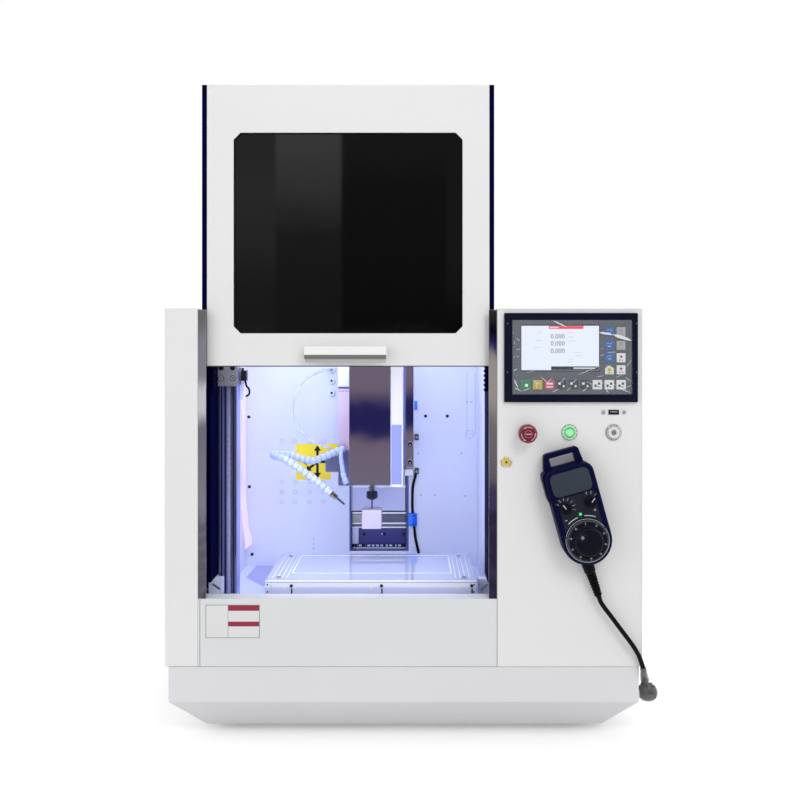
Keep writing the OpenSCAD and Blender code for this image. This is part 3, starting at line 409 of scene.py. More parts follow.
# A faint glow, which is painted light: on the table's clear sheet it brightens the frosted edges and engraved lines,
# and on the head and the column it paints highlights along edges
finish("frosted_edge_and_highlight", (0.84, 0.88, 1.0), 0.16, Emission_Color=(0.8, 0.86, 1.0), Emission_Strength=0.12)
finish("white_foam", (0.44, 0.42, 0.55), 0.8, scale=420.0, bump=0.5, depth=0.0006, blend=0.5,
       Subsurface_Weight=0.15)
finish("hose_link", (0.46, 0.53, 0.86), 0.24, second=(0.34, 0.41, 0.78), blend=0.7, patch=60.0, Coat_Weight=0.4)
finish("clear_tube", (0.80, 0.85, 0.98), 0.12, Transmission_Weight=0.7, IOR=1.2, Coat_Weight=0.5)
finish("black_rubber", (0.0022, 0.0022, 0.0035), 0.62, scale=700.0, bump=0.25, Specular_IOR_Level=0.18)
finish("bezel_navy", (0.0015, 0.0040, 0.020), 0.5, second=(0.003, 0.006, 0.032), Specular_IOR_Level=0.2)
finish("keypad_grey", (0.098, 0.107, 0.132), 0.34, blend=0.5, patch=40.0)
finish("creased_film", (0.92, 0.95, 1.0), 0.10, "creased_film", second=(1, 1, 1), scale=42.0, bump=0.9,
       depth=0.0018, Alpha=0.07, Specular_IOR_Level=0.8)
finish("stop_red", (0.20, 0.006, 0.030), 0.24, second=(0.14, 0.004, 0.022), Coat_Weight=0.5)
finish("pendant_shell", (0.0006, 0.0013, 0.030), 0.5, second=(0.0010, 0.0020, 0.044), scale=1100.0, bump=0.3,
       spread=0.15, Specular_IOR_Level=0.11)
finish("pendant_label", (0.030, 0.042, 0.060), 0.45, second=(0.042, 0.056, 0.074), patch=14.0)
finish("wheel_black", (0.0022, 0.003, 0.013), 0.42, spread=0.2, Specular_IOR_Level=0.3)
finish("plug_wrap", (0.085, 0.086, 0.088), 0.22, scale=160.0, bump=0.9, depth=0.0016, spread=0.3, Coat_Weight=0.8)
# the label's faint glow is painted light
finish("decal_yellow_painted_light", (0.95, 0.76, 0.03), 0.35, Emission_Color=(1.0, 0.80, 0.03), Emission_Strength=0.07)
finish("film_pink", (0.58, 0.40, 0.56), 0.25, second=(0.62, 0.54, 0.74), patch=9.0, blend=0.9)
# the wall film's glow is painted light that lifts it out of the shade along the wall
finish("film_wall_painted_light", (0.96, 0.84, 0.93), 0.3, second=(0.98, 0.90, 0.98), Emission_Color=(1.0, 0.86, 0.94),
       Emission_Strength=0.22)
finish("pull_shade", (0.18, 0.18, 0.165), 0.5, second=(0.20, 0.20, 0.18))
finish("pull_shadow", (0.48, 0.47, 0.44), 0.5, second=(0.54, 0.53, 0.50))
for name, colour, strength in (
    ("led_diffuser", (0.80, 0.86, 1.0), 2.2), ("screen_white", (0.74, 0.79, 0.90), 0.16),
    ("screen_red", (0.72, 0.05, 0.09), 0.25), ("lens_green", (0.20, 0.68, 0.28), 0.28),
    ("lens_pale", (0.50, 0.86, 0.56), 0.25), ("lamp_green", (0.06, 0.80, 0.25), 0.5),
):
    lit(name, colour, strength)
for name, colour, roughness, coat in (
    ("key_blue", (0.018, 0.135, 0.42), 0.3, 0.3), ("key_cream", (0.72, 0.74, 0.60), 0.3, 0.3),
    ("key_grey", (0.40, 0.41, 0.40), 0.3, 0.3), ("key_white", (0.78, 0.80, 0.80), 0.3, 0.3),
    ("key_green", (0.018, 0.25, 0.10), 0.3, 0.3), ("key_yellow", (0.56, 0.42, 0.03), 0.3, 0.3),
    ("key_pink", (0.62, 0.06, 0.13), 0.3, 0.3), ("key_slate", (0.035, 0.045, 0.06), 0.3, 0.3),
    ("button_white", (0.90, 0.90, 0.88), 0.25, 0.4), ("button_yellow", (0.92, 0.68, 0.09), 0.28, 0.4),
):
    finish(name, colour, roughness, Coat_Weight=coat)
for name, colour, roughness in (
    ("screen_dark", (0.012, 0.018, 0.03), 0.25), ("screen_text", (0.16, 0.18, 0.24), 0.3),
    ("screen_faint", (0.60, 0.66, 0.74), 0.3), ("stop_mark", (0.62, 0.42, 0.46), 0.4),
    ("lens_edge", (0.03, 0.30, 0.08), 0.35), ("button_brown", (0.10, 0.045, 0.01), 0.4),
    ("pendant_lower_label", (0.012, 0.017, 0.030), 0.4), ("mark_white", (0.72, 0.76, 0.78), 0.5),
    ("mark_grey", (0.22, 0.25, 0.28), 0.5), ("mark_black", (0.006, 0.006, 0.012), 0.5),
    ("plate_white", (0.80, 0.80, 0.80), 0.3), ("plate_red", (0.36, 0.025, 0.06), 0.35),
    ("connector_blue", (0.008, 0.12, 0.82), 0.35), ("connector_light", (0.035, 0.26, 0.95), 0.35),
    ("film_purple", (0.16, 0.08, 0.30), 0.3), ("slot_border", (0.10, 0.12, 0.36), 0.4),
    # the slot's navy is painted shade on the column's foot block
    ("slot_navy_painted_shade", (0.055, 0.055, 0.235), 0.4), ("slot_lavender", (0.20, 0.24, 0.66), 0.35),
    ("wall_line", (0.42, 0.47, 0.72), 0.4), ("gap_grey", (0.24, 0.25, 0.26), 0.7),
    ("door_line", (0.07, 0.07, 0.075), 0.6), ("head_face", (0.48, 0.46, 0.48), 0.3),
):
    finish(name, colour, roughness)


# ---------------------------------------------------------------- Geometry Nodes for what repeats
def form_tree(name, inputs):
    tree = bpy.data.node_groups.new(name, "GeometryNodeTree")
    socket_list(tree, "INPUT", [("Geometry", "Geometry", None), *inputs, ("Material", "Material", None)])
    socket_list(tree, "OUTPUT", [("Geometry", "Geometry", None)])
    tree = Tree(tree)
    return tree, tree.add("NodeGroupInput").outputs


def close_tree(tree, geometry, material):
    geometry = tree.out("GeometryNodeRealizeInstances", {"Geometry": geometry})
    geometry = tree.out("GeometryNodeSetMaterial", {"Geometry": geometry, "Material": material})
    tree.add("NodeGroupOutput", {"Geometry": geometry})
    return tree.tree


def place_copies(tree, given, points, shape, rotation):
    copies = tree.out("GeometryNodeInstanceOnPoints", {"Points": points, "Instance": shape, "Rotation": rotation})
    return close_tree(tree, copies, given["Material"])


def copies_tree(name, inputs, kind, **sockets):
    """A shape on every given point; sockets says which input feeds each of the shape's sockets."""
    tree, given = form_tree(name, [*inputs, ("Rotation", "Rotation", None)])
    points = tree.out("GeometryNodeMeshToPoints", {"Mesh": given["Geometry"]})
    shape = tree.out(kind, {socket: given[source] for socket, source in sockets.items()})
    return place_copies(tree, given, points, shape, given["Rotation"])


def dial_tree():
    tree, given = form_tree("dial_marks", [("Count", "Int", 12), ("Radius", "Float", 10.0), ("First", "Float", 0.0),
                                           ("Step", "Float", 0.5), ("Size", "Vector", (1, 1, 1))])
    index = tree.out("GeometryNodeInputIndex")
    angle = tree.math("ADD", given["First"], tree.times(index, given["Step"]))
    place = tree.out("ShaderNodeCombineXYZ", {0: tree.times(given["Radius"], tree.math("COSINE", angle)),
                                              1: tree.times(given["Radius"], tree.math("SINE", angle))})
    points = tree.out("GeometryNodePoints", {"Count": given["Count"], "Position": place})
    shape = tree.out("GeometryNodeMeshCube", {"Size": given["Size"]})
    return place_copies(tree, given, points, shape, tree.out("ShaderNodeCombineXYZ", {2: angle}))


def beads_tree():
    tree, given = form_tree("beads", [
        ("Radius", "Float", 6.0), ("Waist", "Float", 4.0), ("Beads", "Int", 20), ("Steps", "Int", 8),
        ("Sides", "Int", 16), ("Taper", "Float", 1.0), ("Lean", "Float", 1.0)])
    count = tree.math("ADD", tree.times(given["Beads"], given["Steps"]), 1.0)
    path = tree.out("GeometryNodeMeshToCurve", {"Mesh": given["Geometry"]})
    path = tree.out("GeometryNodeResampleCurve", {"Curve": path, "Count": count})
    index = tree.out("GeometryNodeInputIndex")
    phase = tree.math("FRACT", tree.math("DIVIDE", index, given["Steps"]))
    swell = tree.math("SINE", tree.times(tree.math("POWER", phase, given["Lean"]), math.pi))
    swell = tree.math("POWER", tree.math("MAXIMUM", swell, 0.0), 0.55)
    narrow = tree.spread(tree.math("DIVIDE", index, count), 0.0, 1.0, 1.0, given["Taper"])
    radius = tree.math("ADD", given["Waist"],
                       tree.times(swell, tree.math("SUBTRACT", given["Radius"], given["Waist"])))
    circle = tree.out("GeometryNodeCurvePrimitiveCircle", {"Resolution": given["Sides"], "Radius": 1.0})
    skin = tree.out("GeometryNodeCurveToMesh", {
        "Curve": path, "Profile Curve": circle, "Scale": tree.times(radius, narrow), "Fill Caps": True})
    return close_tree(tree, skin, given["Material"])


FORMS = {
    "studs": copies_tree("studs", [("Radius", "Float", 3.0), ("Height", "Float", 1.0), ("Sides", "Int", 24)],
                         "GeometryNodeMeshCylinder", Vertices="Sides", Radius="Radius", Depth="Height"),
    "bars": copies_tree("bars", [("Size", "Vector", (1, 1, 1))], "GeometryNodeMeshCube", Size="Size"),
    "dial": dial_tree(), "beads": beads_tree(),
}


def grown(form, points, values, material):
    """Runs one of the trees on a line of points and returns the plain mesh that it makes."""
    mesh = bpy.data.meshes.new("seed")
    edges = [(i, i + 1) for i in range(len(points) - 1)] if form == "beads" else []
    mesh.from_pydata([tuple(p) for p in points], edges, [])
    seed = linked("seed", mesh)
    modifier = seed.modifiers.new("form", "NODES")
    modifier.node_group = FORMS[form]
    names = {item.name: item.identifier for item in FORMS[form].interface.items_tree if item.in_out == "INPUT"}
    for key, value in {**values, "Material": material}.items():
        modifier[names[key]] = value
    result = evaluated_mesh(seed)
    bpy.data.objects.remove(seed)
    return result


# ---------------------------------------------------------------- pieces
def skin(part, rings):
    """Joins each ring of corners to the next one with four-sided faces."""
    for low, high in zip(rings, rings[1:]):
        for k in range(len(low)):
            n = (k + 1) % len(low)
            part.faces.new((low[k], low[n], high[n], high[k]))


class Piece:
    """Collects forms, in cabinet millimetres, into one object that rides on one body."""

    def __init__(self, place=HERE):
        self.mesh = bmesh.new()
        self.materials = []
        self.place = place

    def take(self, part, material, smooth=True, place=HERE):
        """Adds a bmesh or a mesh, and frees it."""
        if isinstance(part, bpy.types.Mesh):
            mesh, part = part, bmesh.new()
            part.from_mesh(mesh)
        else:
            mesh = bpy.data.meshes.new("part")
        part.transform(self.place @ place)
        if material not in self.materials:
            self.materials.append(material)
        index = self.materials.index(material)
        for face in part.faces:
            face.material_index, face.smooth = index, smooth
        part.to_mesh(mesh)
        part.free()
        self.mesh.from_mesh(mesh)
        bpy.data.meshes.remove(mesh)

    def box(self, material, x0, x1, y0, y1, z0, z1, bevel=0.3, segments=2, place=HERE):
        part = bmesh.new()
        bmesh.ops.create_cube(part, size=1)
        size = Vector((x1 - x0, y1 - y0, z1 - z0))
        part.transform(shift((x0 + x1) / 2, (y0 + y1) / 2, (z0 + z1) / 2) @ Matrix.Diagonal((*size, 1)))
        if bevel:
            bmesh.ops.bevel(part, geom=part.edges[:], offset=min(bevel, min(size) * 0.45), segments=segments,
                            affect="EDGES", profile=0.5)
        self.take(part, material, place=place)

    def boxes(self, material, *rows):
        """Several boxes of one finish."""
        for row in rows:
            self.box(material, *row)

    def turned(self, material, profile, place=HERE, steps=48):
        """Profile is [radius, height] around its own Z, from the bottom to the top."""
        part = bmesh.new()
        skin(part, [[part.verts.new((x, y, h)) for x, y in ring_outline(r, steps)] for r, h in profile])
        bmesh.ops.remove_doubles(part, verts=part.verts[:], dist=1e-4)
        bmesh.ops.dissolve_degenerate(part, dist=1e-5, edges=part.edges[:])
        bmesh.ops.holes_fill(part, edges=part.edges[:], sides=0)
        bmesh.ops.recalc_face_normals(part, faces=part.faces[:])
        self.take(part, material, place=place)

    def cut_out(self, material, outline, thickness, bevel=0.0, place=HERE, hole=None):
        """A flat outline in the X-Y plane, thickened along Z; hole is an outline with as many points."""
        part = bmesh.new()
        if hole:
            low, high, hole_low, hole_high = [[part.verts.new((x, y, z)) for x, y in ring]
                                              for ring in (outline, hole) for z in (0, thickness)]
            for k in range(len(outline)):
                n = (k + 1) % len(outline)
                part.faces.new((low[k], low[n], high[n], high[k]))
                part.faces.new((hole_low[n], hole_low[k], hole_high[k], hole_high[n]))
                part.faces.new((high[k], high[n], hole_high[n], hole_high[k]))
                part.faces.new((low[n], low[k], hole_low[k], hole_low[n]))
        else:
            face = part.faces.new([part.verts.new((x, y, 0)) for x, y in outline])
            raised = bmesh.ops.extrude_face_region(part, geom=[face])["geom"]
            verts = [v for v in raised if isinstance(v, bmesh.types.BMVert)]
            bmesh.ops.translate(part, verts=verts, vec=(0, 0, thickness))
        bmesh.ops.recalc_face_normals(part, faces=part.faces[:])
        if bevel:
            top = [e for e in part.edges if all(abs(v.co.z - thickness) < 1e-5 for v in e.verts)]
            bmesh.ops.bevel(part, geom=top, offset=bevel, segments=3, affect="EDGES", profile=0.5)
        self.take(part, material, place=place)

    def band(self, material, place, outer, inner, height, thick=0.25):
        """A flat ring."""
        self.cut_out(material, ring_outline(outer), thick, 0, place @ shift(z=height), ring_outline(inner))

    def arc_band(self, material, place, radius, width, first, last, height, thick=0.25, steps=20):
        """Part of a ring from one angle to another, in degrees."""
        part = bmesh.new()
        inner, outer = radius - width / 2, radius + width / 2
        rings = []
        for k in range(steps + 1):
            a = math.radians(first + (last - first) * k / steps)
            rings.append([part.verts.new((r * math.cos(a), r * math.sin(a), h))
                          for r, h in ((inner, 0), (outer, 0), (outer, thick), (inner, thick))])
        skin(part, rings)
        part.faces.new(rings[0][::-1])
        part.faces.new(rings[-1])
        bmesh.ops.recalc_face_normals(part, faces=part.faces[:])
        self.take(part, material, place=place @ shift(z=height))

    def repeat(self, form, material, points, place=HERE, smooth=False, **values):
        """Adds what one of the trees grows on the points."""
        self.take(grown(form, points, values, M[material]), material, smooth, place)

    def studs(self, material, points, radius, height, sides=24, smooth=False, facing=WALL):
        """A short round stud on each point, such as a screw head, a grommet or a dot."""
        self.repeat("studs", material, points, HERE, smooth, Radius=radius, Height=height, Sides=sides,
                    Rotation=facing)

    def bars(self, material, points, size, facing=FLAT):
        """A straight bar on each point, such as a slat, a tick or a slot."""
        self.repeat("bars", material, points, Size=size, Rotation=facing)

    def dial(self, material, count, radius, first, step, size, place):
        """Bars around an arc in the X-Y plane, each one pointing outwards."""
        self.repeat("dial", material, ((0, 0, 0),), place, Count=count, Radius=radius, First=first, Step=step,
                    Size=size)

    def beads(self, material, path, radius, waist, beads, steps, sides, taper=1.0, lean=1.0):
        """A tube along a path whose radius swells and narrows, such as a jointed hose or a ribbed sleeve."""
        self.repeat("beads", material, path, HERE, True, Radius=radius, Waist=waist, Beads=beads, Steps=steps,
                    Sides=sides, Taper=taper, Lean=lean)

    def words(self, material, text, size, place):
        """Generic figures on a dial or a screen."""
        data = bpy.data.curves.new("figures", "FONT")
        data.body, data.size, data.extrude = text, size, 0.05
        data.align_x = data.align_y = "CENTER"
        data.resolution_u = 2
        holder = linked("figures", data)
        mesh = evaluated_mesh(holder)
        bpy.data.objects.remove(holder)
        self.take(mesh, material, False, place)

    def done(self, name, body, slot, replaces=(), sharp=35):
        """Turns what was collected into an object of the scene."""
        mesh = bpy.data.meshes.new(name)
        self.mesh.transform(TO_FRAME)
        self.mesh.to_mesh(mesh)
        self.mesh.free()
        for material in self.materials:
            mesh.materials.append(M[material])
        mesh.set_sharp_from_angle(angle=math.radians(sharp))
        return declare(linked(name, mesh), body, replaces)


def declare(piece, body, replaces=()):
    """Says what a piece rides on and which nodes it stands for, and hides those nodes."""
    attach(piece, body)
    if replaces:
        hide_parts(*replaces)
    return piece


BODY_OF = {node: body for body, members in frame["record"]["behaviour"]["bodies"].items() for node in members}
SAME_PLACE, SAME_PLANE, EDGE_ANGLE = 1e-6, math.radians(0.6), math.radians(30)


def softened(node, material, bevel, segments=2):
    """A copy of a node's solid with merged faces and softly broken edges, which stands for the node."""
    part = bmesh.new()
    part.from_mesh(frame["nodes"][node].data)
    bmesh.ops.remove_doubles(part, verts=part.verts[:], dist=SAME_PLACE)
    bmesh.ops.dissolve_limit(part, angle_limit=SAME_PLANE, verts=part.verts[:], edges=part.edges[:])
    for face in part.faces:
        face.material_index, face.smooth = 0, True
    mesh = bpy.data.meshes.new(node + "_finished")
    part.to_mesh(mesh)
    part.free()
    mesh.materials.append(M[material])
    piece = linked(node + "_finished", mesh)
    edge = piece.modifiers.new("edge", "BEVEL")
    edge.width, edge.segments, edge.limit_method = bevel * MM, segments, "ANGLE"
    edge.angle_limit = EDGE_ANGLE
    edge.use_clamp_overlap = False
    piece.modifiers.new("shading", "WEIGHTED_NORMAL").weight = 100
    solid = evaluated_mesh(piece)
    piece.modifiers.clear()
    piece.data = solid
    declare(piece, BODY_OF[node], [node])


def dress(node, material):
    """A node whose solid is right keeps it, with a finish of its own."""
    data = frame["nodes"][node].data
    data.materials.clear()
    data.materials.append(M[material])


def smooth_route(route, steps):
    """The curve through a route's points that its solid follows."""
    ends = [Vector(p) for p in (route[0], *route, route[-1])]
    points = []
    for a, b, c, d in zip(ends, ends[1:], ends[2:], ends[3:]):
        for t in (k / steps for k in range(steps)):
            points.append(0.5 * (2 * b + (c - a) * t + (2 * a - 5 * b + 4 * c - d) * t * t
                                 + (3 * b - a - 3 * c + d) * t ** 3))
    return [*points, ends[-1]]


set_camera()
set_stage()

# ---------------------------------------------------------------- the pendant's cord and plug
CORD_R = 3.25
CORD_ROUTE = [
    (278.3, -10, 206.5), (280.9, -10, 199.4), (286, -10.4, 191.5), (295.1, -11, 179.8), (309.5, -11.5, 160.4),
    (324.1, -11, 140.9), (329.8, -9.5, 132.3), (335.2, -8, 123.2), (340.2, -5.2, 111.2), (343.1, -3.9, 101.7),
    (345.7, 2.5, 93.2), (348.5, 10.5, 86.2), (351, 17, 80.5), (352, 19, 75.2),
]
cord_points = smooth_route(CORD_ROUTE, 3)


def build_plug():
    """Grey coupling wrapped in clear film, with the sleeve that runs up the lead."""
    plug = Piece()
    sleeve_top = 107
    plug.beads("plug_wrap", [p for p in cord_points if p.z < sleeve_top], CORD_R + 1.0, CORD_R + 0.55, 5, 8, 20, 1.45)
    sideways = shift(338.5, 20, 59) @ turn(90, "Y")
    plug.turned("plug_wrap", [(0, -7), (5.4, -7), (6.6, -5), (7, 3), (8.2, 5.5), (10.6, 8.6), (12.4, 12.5),
                              (13, 17), (12.6, 21.6), (11.2, 25.6), (8.6, 29), (4.6, 31), (0, 31.6)], sideways)
    for k in range(9):
        fold = turn(k * 40 + 7 * (k % 3), "Z") @ turn(12 - 6 * (k % 4), "X")
        plug.box("plug_wrap", -12.2, -10.6, -2.2, 2.2, 10 + k % 4, 27 - k % 3, 0.7, 2, sideways @ fold)
    plug.turned("plug_wrap", [(0, 66), (6.2, 66), (6.6, 69), (5.4, 73), (4.6, 75.4), (3.3, 75.6)], shift(352, 19), 24)
    return plug.done("wrapped_plug", "cabinet", "plug_grey", ["pendant_plug"])


lead = Piece()
lead.beads("black_rubber", cord_points, CORD_R, CORD_R, len(cord_points) - 1, 2, 20)
lead = lead.done("pendant_lead", "cabinet", "black_rubber", ["pendant_cord"])
wrapped_plug = build_plug()

# ---------------------------------------------------------------- cabinet and door
for node, material, bevel, *segments in (
    ("cabinet_shell", "cabinet_paint", 0.7), ("base_plinth", "base_paint", 1.2),
    ("control_panel", "cabinet_paint", 0.25), ("rear_cover", "cabinet_paint", 0.5),
    ("front_fascia", "sill_paint", 0.6), ("door_frame", "cabinet_paint", 0.9),
    # the door pull takes the lighter paint, a painted highlight
    ("door_pull", "pull_paint", 0.5), ("rubber_feet", "black_rubber", 0.8),
    ("mirror_trim", "mirror_steel", 0.3), ("chamber_floor", "liner_paint", 0.3),
    ("chamber_sides", "liner_paint", 0.3), ("door_channels", "black_anodised", 0.4),
    ("door_rails", "black_anodised", 0.4), ("light_bar", "led_diffuser", 1.0),
    ("door_window", "tinted_pane", 0.3), ("lift_profile", "profile_metal", 0.4),
    ("lift_carriage", "carriage_plate", 0.5), ("machine_bed", "grey_casting", 1.2),
    ("z_column", "grey_casting", 0.8), ("linear_rails", "ground_steel", 0.6),
    ("axis_motors", "motor_black", 0.8), ("screw_bearings", "motor_black", 0.5),
    ("saddle", "drawn_aluminium", 0.6), ("x_drive", "motor_black", 0.5), ("table_plate", "table_paint", 0.5),
    ("head_frame", "lavender_plate", 0.5), ("spindle_motor", "drawn_aluminium", 0.6),
    ("spindle_cover", "mirror_steel", 0.35), ("head_box", "head_paint", 0.4),
    ("coolant_manifold", "lavender_plate", 0.8), ("power_supply", "bare_sheet", 0.5),
    ("driver_box", "motor_black", 0.5), ("plug_socket", "chrome_ring", 0.5),
    ("controller_case", "bezel_navy", 0.6), ("usb_socket", "chrome_ring", 0.2),
    ("panel_rings", "chrome_ring", 0.25), ("pendant_body", "pendant_shell", 0.8),
    ("pendant_enable", "wheel_black", 1.2, 3),
):
    softened(node, material, bevel, *segments)
dress("chamber_back", "liner_paint")
dress("controller_screen", "screen_white")

BAY_X, DOOR_FOOT, CABINET_DEPTH, WALL_Y = -80.5, 534, 480, 308
LIFT_X, LIFT_Y = -270, 88
MACHINE_X, COLUMN_Y, Y_SCREW_Z = -49, 338, 140


def door_trim():
    """Rubber lip around the window, the door's dark lower edge and the shaded underside of the pull."""
    trim = Piece()

    def ring(grow):
        w, h, c = 166 + grow, 145.5 + grow, 10 + grow * 0.4
        return [(-w + c, -h), (w - c, -h), (w, -h + c), (w, h - c), (w - c, h), (-w + c, h), (-w, h - c),
                (-w, -h + c)]
    trim.cut_out("black_rubber", ring(-0.1), 1.2, 0, outward(BAY_X, 13.8, 728), ring(-1.6))
    trim.box("door_line", BAY_X - 204, BAY_X + 204, 11.8, 13.5, DOOR_FOOT, DOOR_FOOT + 1.5, 0)
    under = shift(-83.5, -1.5, 545.9) @ turn(37.45, "X")
    trim.box("pull_shade", -58.6, 58.6, -0.32, -0.05, -0.9, 6.9, 0.1, 1, under)
    trim.box("pull_shadow", -58.2, 58.2, -0.32, -0.05, -6.9, -0.9, 0.1, 1, under)
    trim.done("window_seal", "door", "black_rubber")


def rear_details():
    """Screws around the rear cover and hoods over its louvres."""
    rear = Piece()
    edge = grid((-333, -166, 0, 166, 333), CABINET_DEPTH + 0.8, (116, 606))
    edge += grid((-333, 333), CABINET_DEPTH + 0.8, (238, 361, 484))
    rear.studs("chrome_ring", edge, 4.0, 1.8, 20, True)
    rear.studs("mark_black", moved(edge, dy=0.75), 1.7, 0.6, 6)
    rear.bars("cabinet_paint", grid(range(-250, 251, 100), CABINET_DEPTH + 1.2, range(477, 577, 11)), (60, 1.0, 5.2),
              Euler((-0.45, 0, 0)))
    rear.done("rear_screws_and_hoods", "cabinet", "cabinet_paint")


def blank_plate():
    """A plain adhesive plate, with no words or signs on it."""
    plate = Piece()
    x0, x1, z0, z1, line = -284.0, -206.5, 145.0, 192.5, 0.7
    plate.box("plate_white", x0, x1, -0.35, -0.02, z0, z1, 0.1)
    for a, b, c, d in ((x0, x1, z0, z0 + line), (x0, x1, z1 - line, z1), (x0, x0 + line, z0, z1),
                       (x1 - line, x1, z0, z1), (-252.1, -251.5, z0, z1)):
        plate.box("gap_grey", a, b, -0.42, -0.1, c, d, 0)
    for low, high in ((184, z1 - line), (161.6, 168.5)):
        plate.box("plate_red", -251.5, x1 - line, -0.45, -0.1, low, high, 0)
    plate.done("blank_plate", "cabinet", "cabinet_paint")


def panel_seams():
    """The fine shadow lines where the cabinet's sheets meet."""
    seams = Piece()
    seams.boxes("gap_grey", (-292.8, -291.9, -0.05, 1.0, 104.5, 203, 0), (133.9, 134.8, -0.05, 1.0, 104.5, 616, 0),
                (-338, 338, 1.7, 4, 103.2, 104.2, 0))
    seams.done("panel_seams", "cabinet", "cabinet_paint")


def build_screws():
    """Ball screws: the rolled thread shows as close, even beads."""
    for name, node, start, end, beads, material, collar, place in (
        ("lift_thread", "lift_screw", (LIFT_X, LIFT_Y, 153.4), (LIFT_X, LIFT_Y, 597.9), 120, "lift_steel",
         [(0, 139.5), (4.6, 139.5), (4.6, 153), (3, 153.4), (0, 153.4)], shift(LIFT_X, LIFT_Y)),
        ("table_thread", "x_screw", (-174.8, 118, 184), (44.6, 118, 184), 44, "ground_steel", (), HERE),
        ("saddle_thread", "y_screw", (MACHINE_X, 50, Y_SCREW_Z), (MACHINE_X, 295.8, Y_SCREW_Z), 50, "ground_steel",
         drum(8.9, 38.4, 48.8), shift(MACHINE_X, 0, Y_SCREW_Z) @ turn(-90, "X")),
        ("head_thread", "z_screw", (MACHINE_X, COLUMN_Y, 241.2), (MACHINE_X, COLUMN_Y, 557.8), 64, "ground_steel",
         drum(8.9, 558.1, 567.6), shift(MACHINE_X, COLUMN_Y)),
    ):
        shaft = Piece()
        shaft.beads(material, [start, end], 4.9, 4.0, beads, 6, 20)
        if collar:
            shaft.turned("ground_steel", collar, place, 24)
        shaft.done(name, node, "ground_steel", [node])


def lift_details():
    """Grooves and bright edges of the profile, the switch beside it and the carriage's screws."""
    rail = Piece()
    foot, top = 167, 599
    for x in (-282.4, -257.6):
        rail.box("ground_steel", x - 0.7, x + 0.7, 77.4, 78.2, foot, top, 0.15)
    for x in (-279.2, -261.0):
        rail.box("dark_groove", x - 1.0, x + 1.0, 77.8, 78.2, foot, top, 0)
    rail.done("profile_edges", "cabinet", "aluminium")
    switch = Piece()
    switch.boxes("motor_black", (-249.6, -240.6, 74, 84, 511, 527, 0.6), (-247.5, -244.5, 70.5, 74.5, 516, 531, 0.4))
    switch.box("drawn_aluminium", -250.2, -249.0, 74, 100, 505, 531, 0.2)
    route = [(-244, 82, 511), (-242.5, 83, 503), (-239, 86, 498), (-240, 92, 490), (-246, 99, 486)]
    switch.beads("black_rubber", smooth_route(route, 4), 1.5, 1.5, 10, 2, 10)
    switch.box("liner_paint", -256, -249.2, 99.4, 100.6, 480, 531, 0.3)
    switch.done("door_switch", "cabinet", "motor_black")
    screws = Piece()
    heads = grid((-279, -261), 71.7, (515,))
    screws.studs("mark_black", grid((-278.7, -261.3), 71.7, (531,)), 4.0, 0.7)
    screws.studs("mark_black", heads, 4.4, 0.7)
    screws.studs("mark_white", moved(heads, dy=-0.3), 3.4, 0.6)
    for lean in (0.785, -0.785):
        screws.bars("mark_black", moved(heads, dy=-0.6), (4.6, 0.4, 0.9), Euler((0, lean, 0)))
    screws.done("carriage_screws", "door", "ground_steel")


# ---------------------------------------------------------------- chamber
def wall_details():
    """Studs, grommets, knobs and marks on the back wall, a painted shadow beside each white ring, a painted highlight
    on each knob, and a shade on the floor.
    """
    wall = Piece()
    studs = grid((-223.5, -199.8, -173.4, -148.2), WALL_Y - 1.9, (392, 318, 300, 282))
    wall.studs("mark_white", studs, 3.0, 1.0, smooth=True)
    wall.studs("wall_line", studs, 3.7, 0.5, smooth=True)
    rings = grid((-133,), WALL_Y - 3.2, (552, 522, 502, 480))
    # a dark disc set off to the lower right behind each ring: a painted shadow
    wall.studs("wall_line", moved(rings, 1.4, 1.2, -1.4), 6.0, 0.8, 32)
    knobs = grid((9.5,), WALL_Y - 12.2, (355.5, 387.7))
    wall.studs("bezel_navy", moved(knobs, dz=-0.6), 3.7, 0.5, 28)
    # the small white dot on each knob is a painted highlight
    wall.studs("mark_white", moved(knobs, dy=-0.2, dz=-1.6), 1.2, 0.4, 16)
    wall.box("plate_white", 0.6, 14.6, WALL_Y - 9.3, WALL_Y - 8.9, 330.5, 341.5, 0)
    wall.box("slot_lavender", -2.2, 0.4, WALL_Y - 5, WALL_Y - 1, 345, 590, 0)
    wall.box("connector_light", 17.4, 22.8, WALL_Y - 1.6, WALL_Y - 0.02, 448.6, 465.4, 0.3)
    wall.studs("mark_white", rings, 5.6, 0.8, 32, True)
    wall.studs("mark_black", moved(rings, dy=-0.35), 2.1, 0.5, 20)
    wall.studs("mark_black", [(x, WALL_Y - 0.1, z) for x, z in (
        (37.5, 437.5), (77.3, 437.5), (-284, 436), (-283, 309), (-278, 186))], 2.9, 0.5)
    wall.studs("wall_line", [(x, WALL_Y - 0.1, z) for x, z in (
        (-166, 214), (-166, 205), (-166, 196), (24.4, 369.6), (103, 369.6), (28.8, 294), (54.9, 294), (110, 292),
        (113, 463.5), (121, 463.5))], 1.7, 0.4, 16)
    for x0, x1, z0, z1 in ((112.6, 113.4, 405, 516), (127.6, 128.4, 405, 516), (112.6, 128.4, 404.5, 405.2)):
        wall.box("wall_line", x0, x1, WALL_Y - 0.12, WALL_Y, z0, z1, 0)
    circle = ring_outline(8, 32)
    wall.cut_out("wall_line", circle, 0.15, 0, outward(118, WALL_Y, 404), [(x * 0.9, y * 0.9) for x, y in circle])
    wall.cut_out("floor_shade", [(-270, 307.5), (-239, 307.5), (-233, 179), (-252, 203), (-274, 235)], 0.15, 0,
                 shift(z=165))
    wall.done("wall_fittings", "cabinet", "liner_paint")


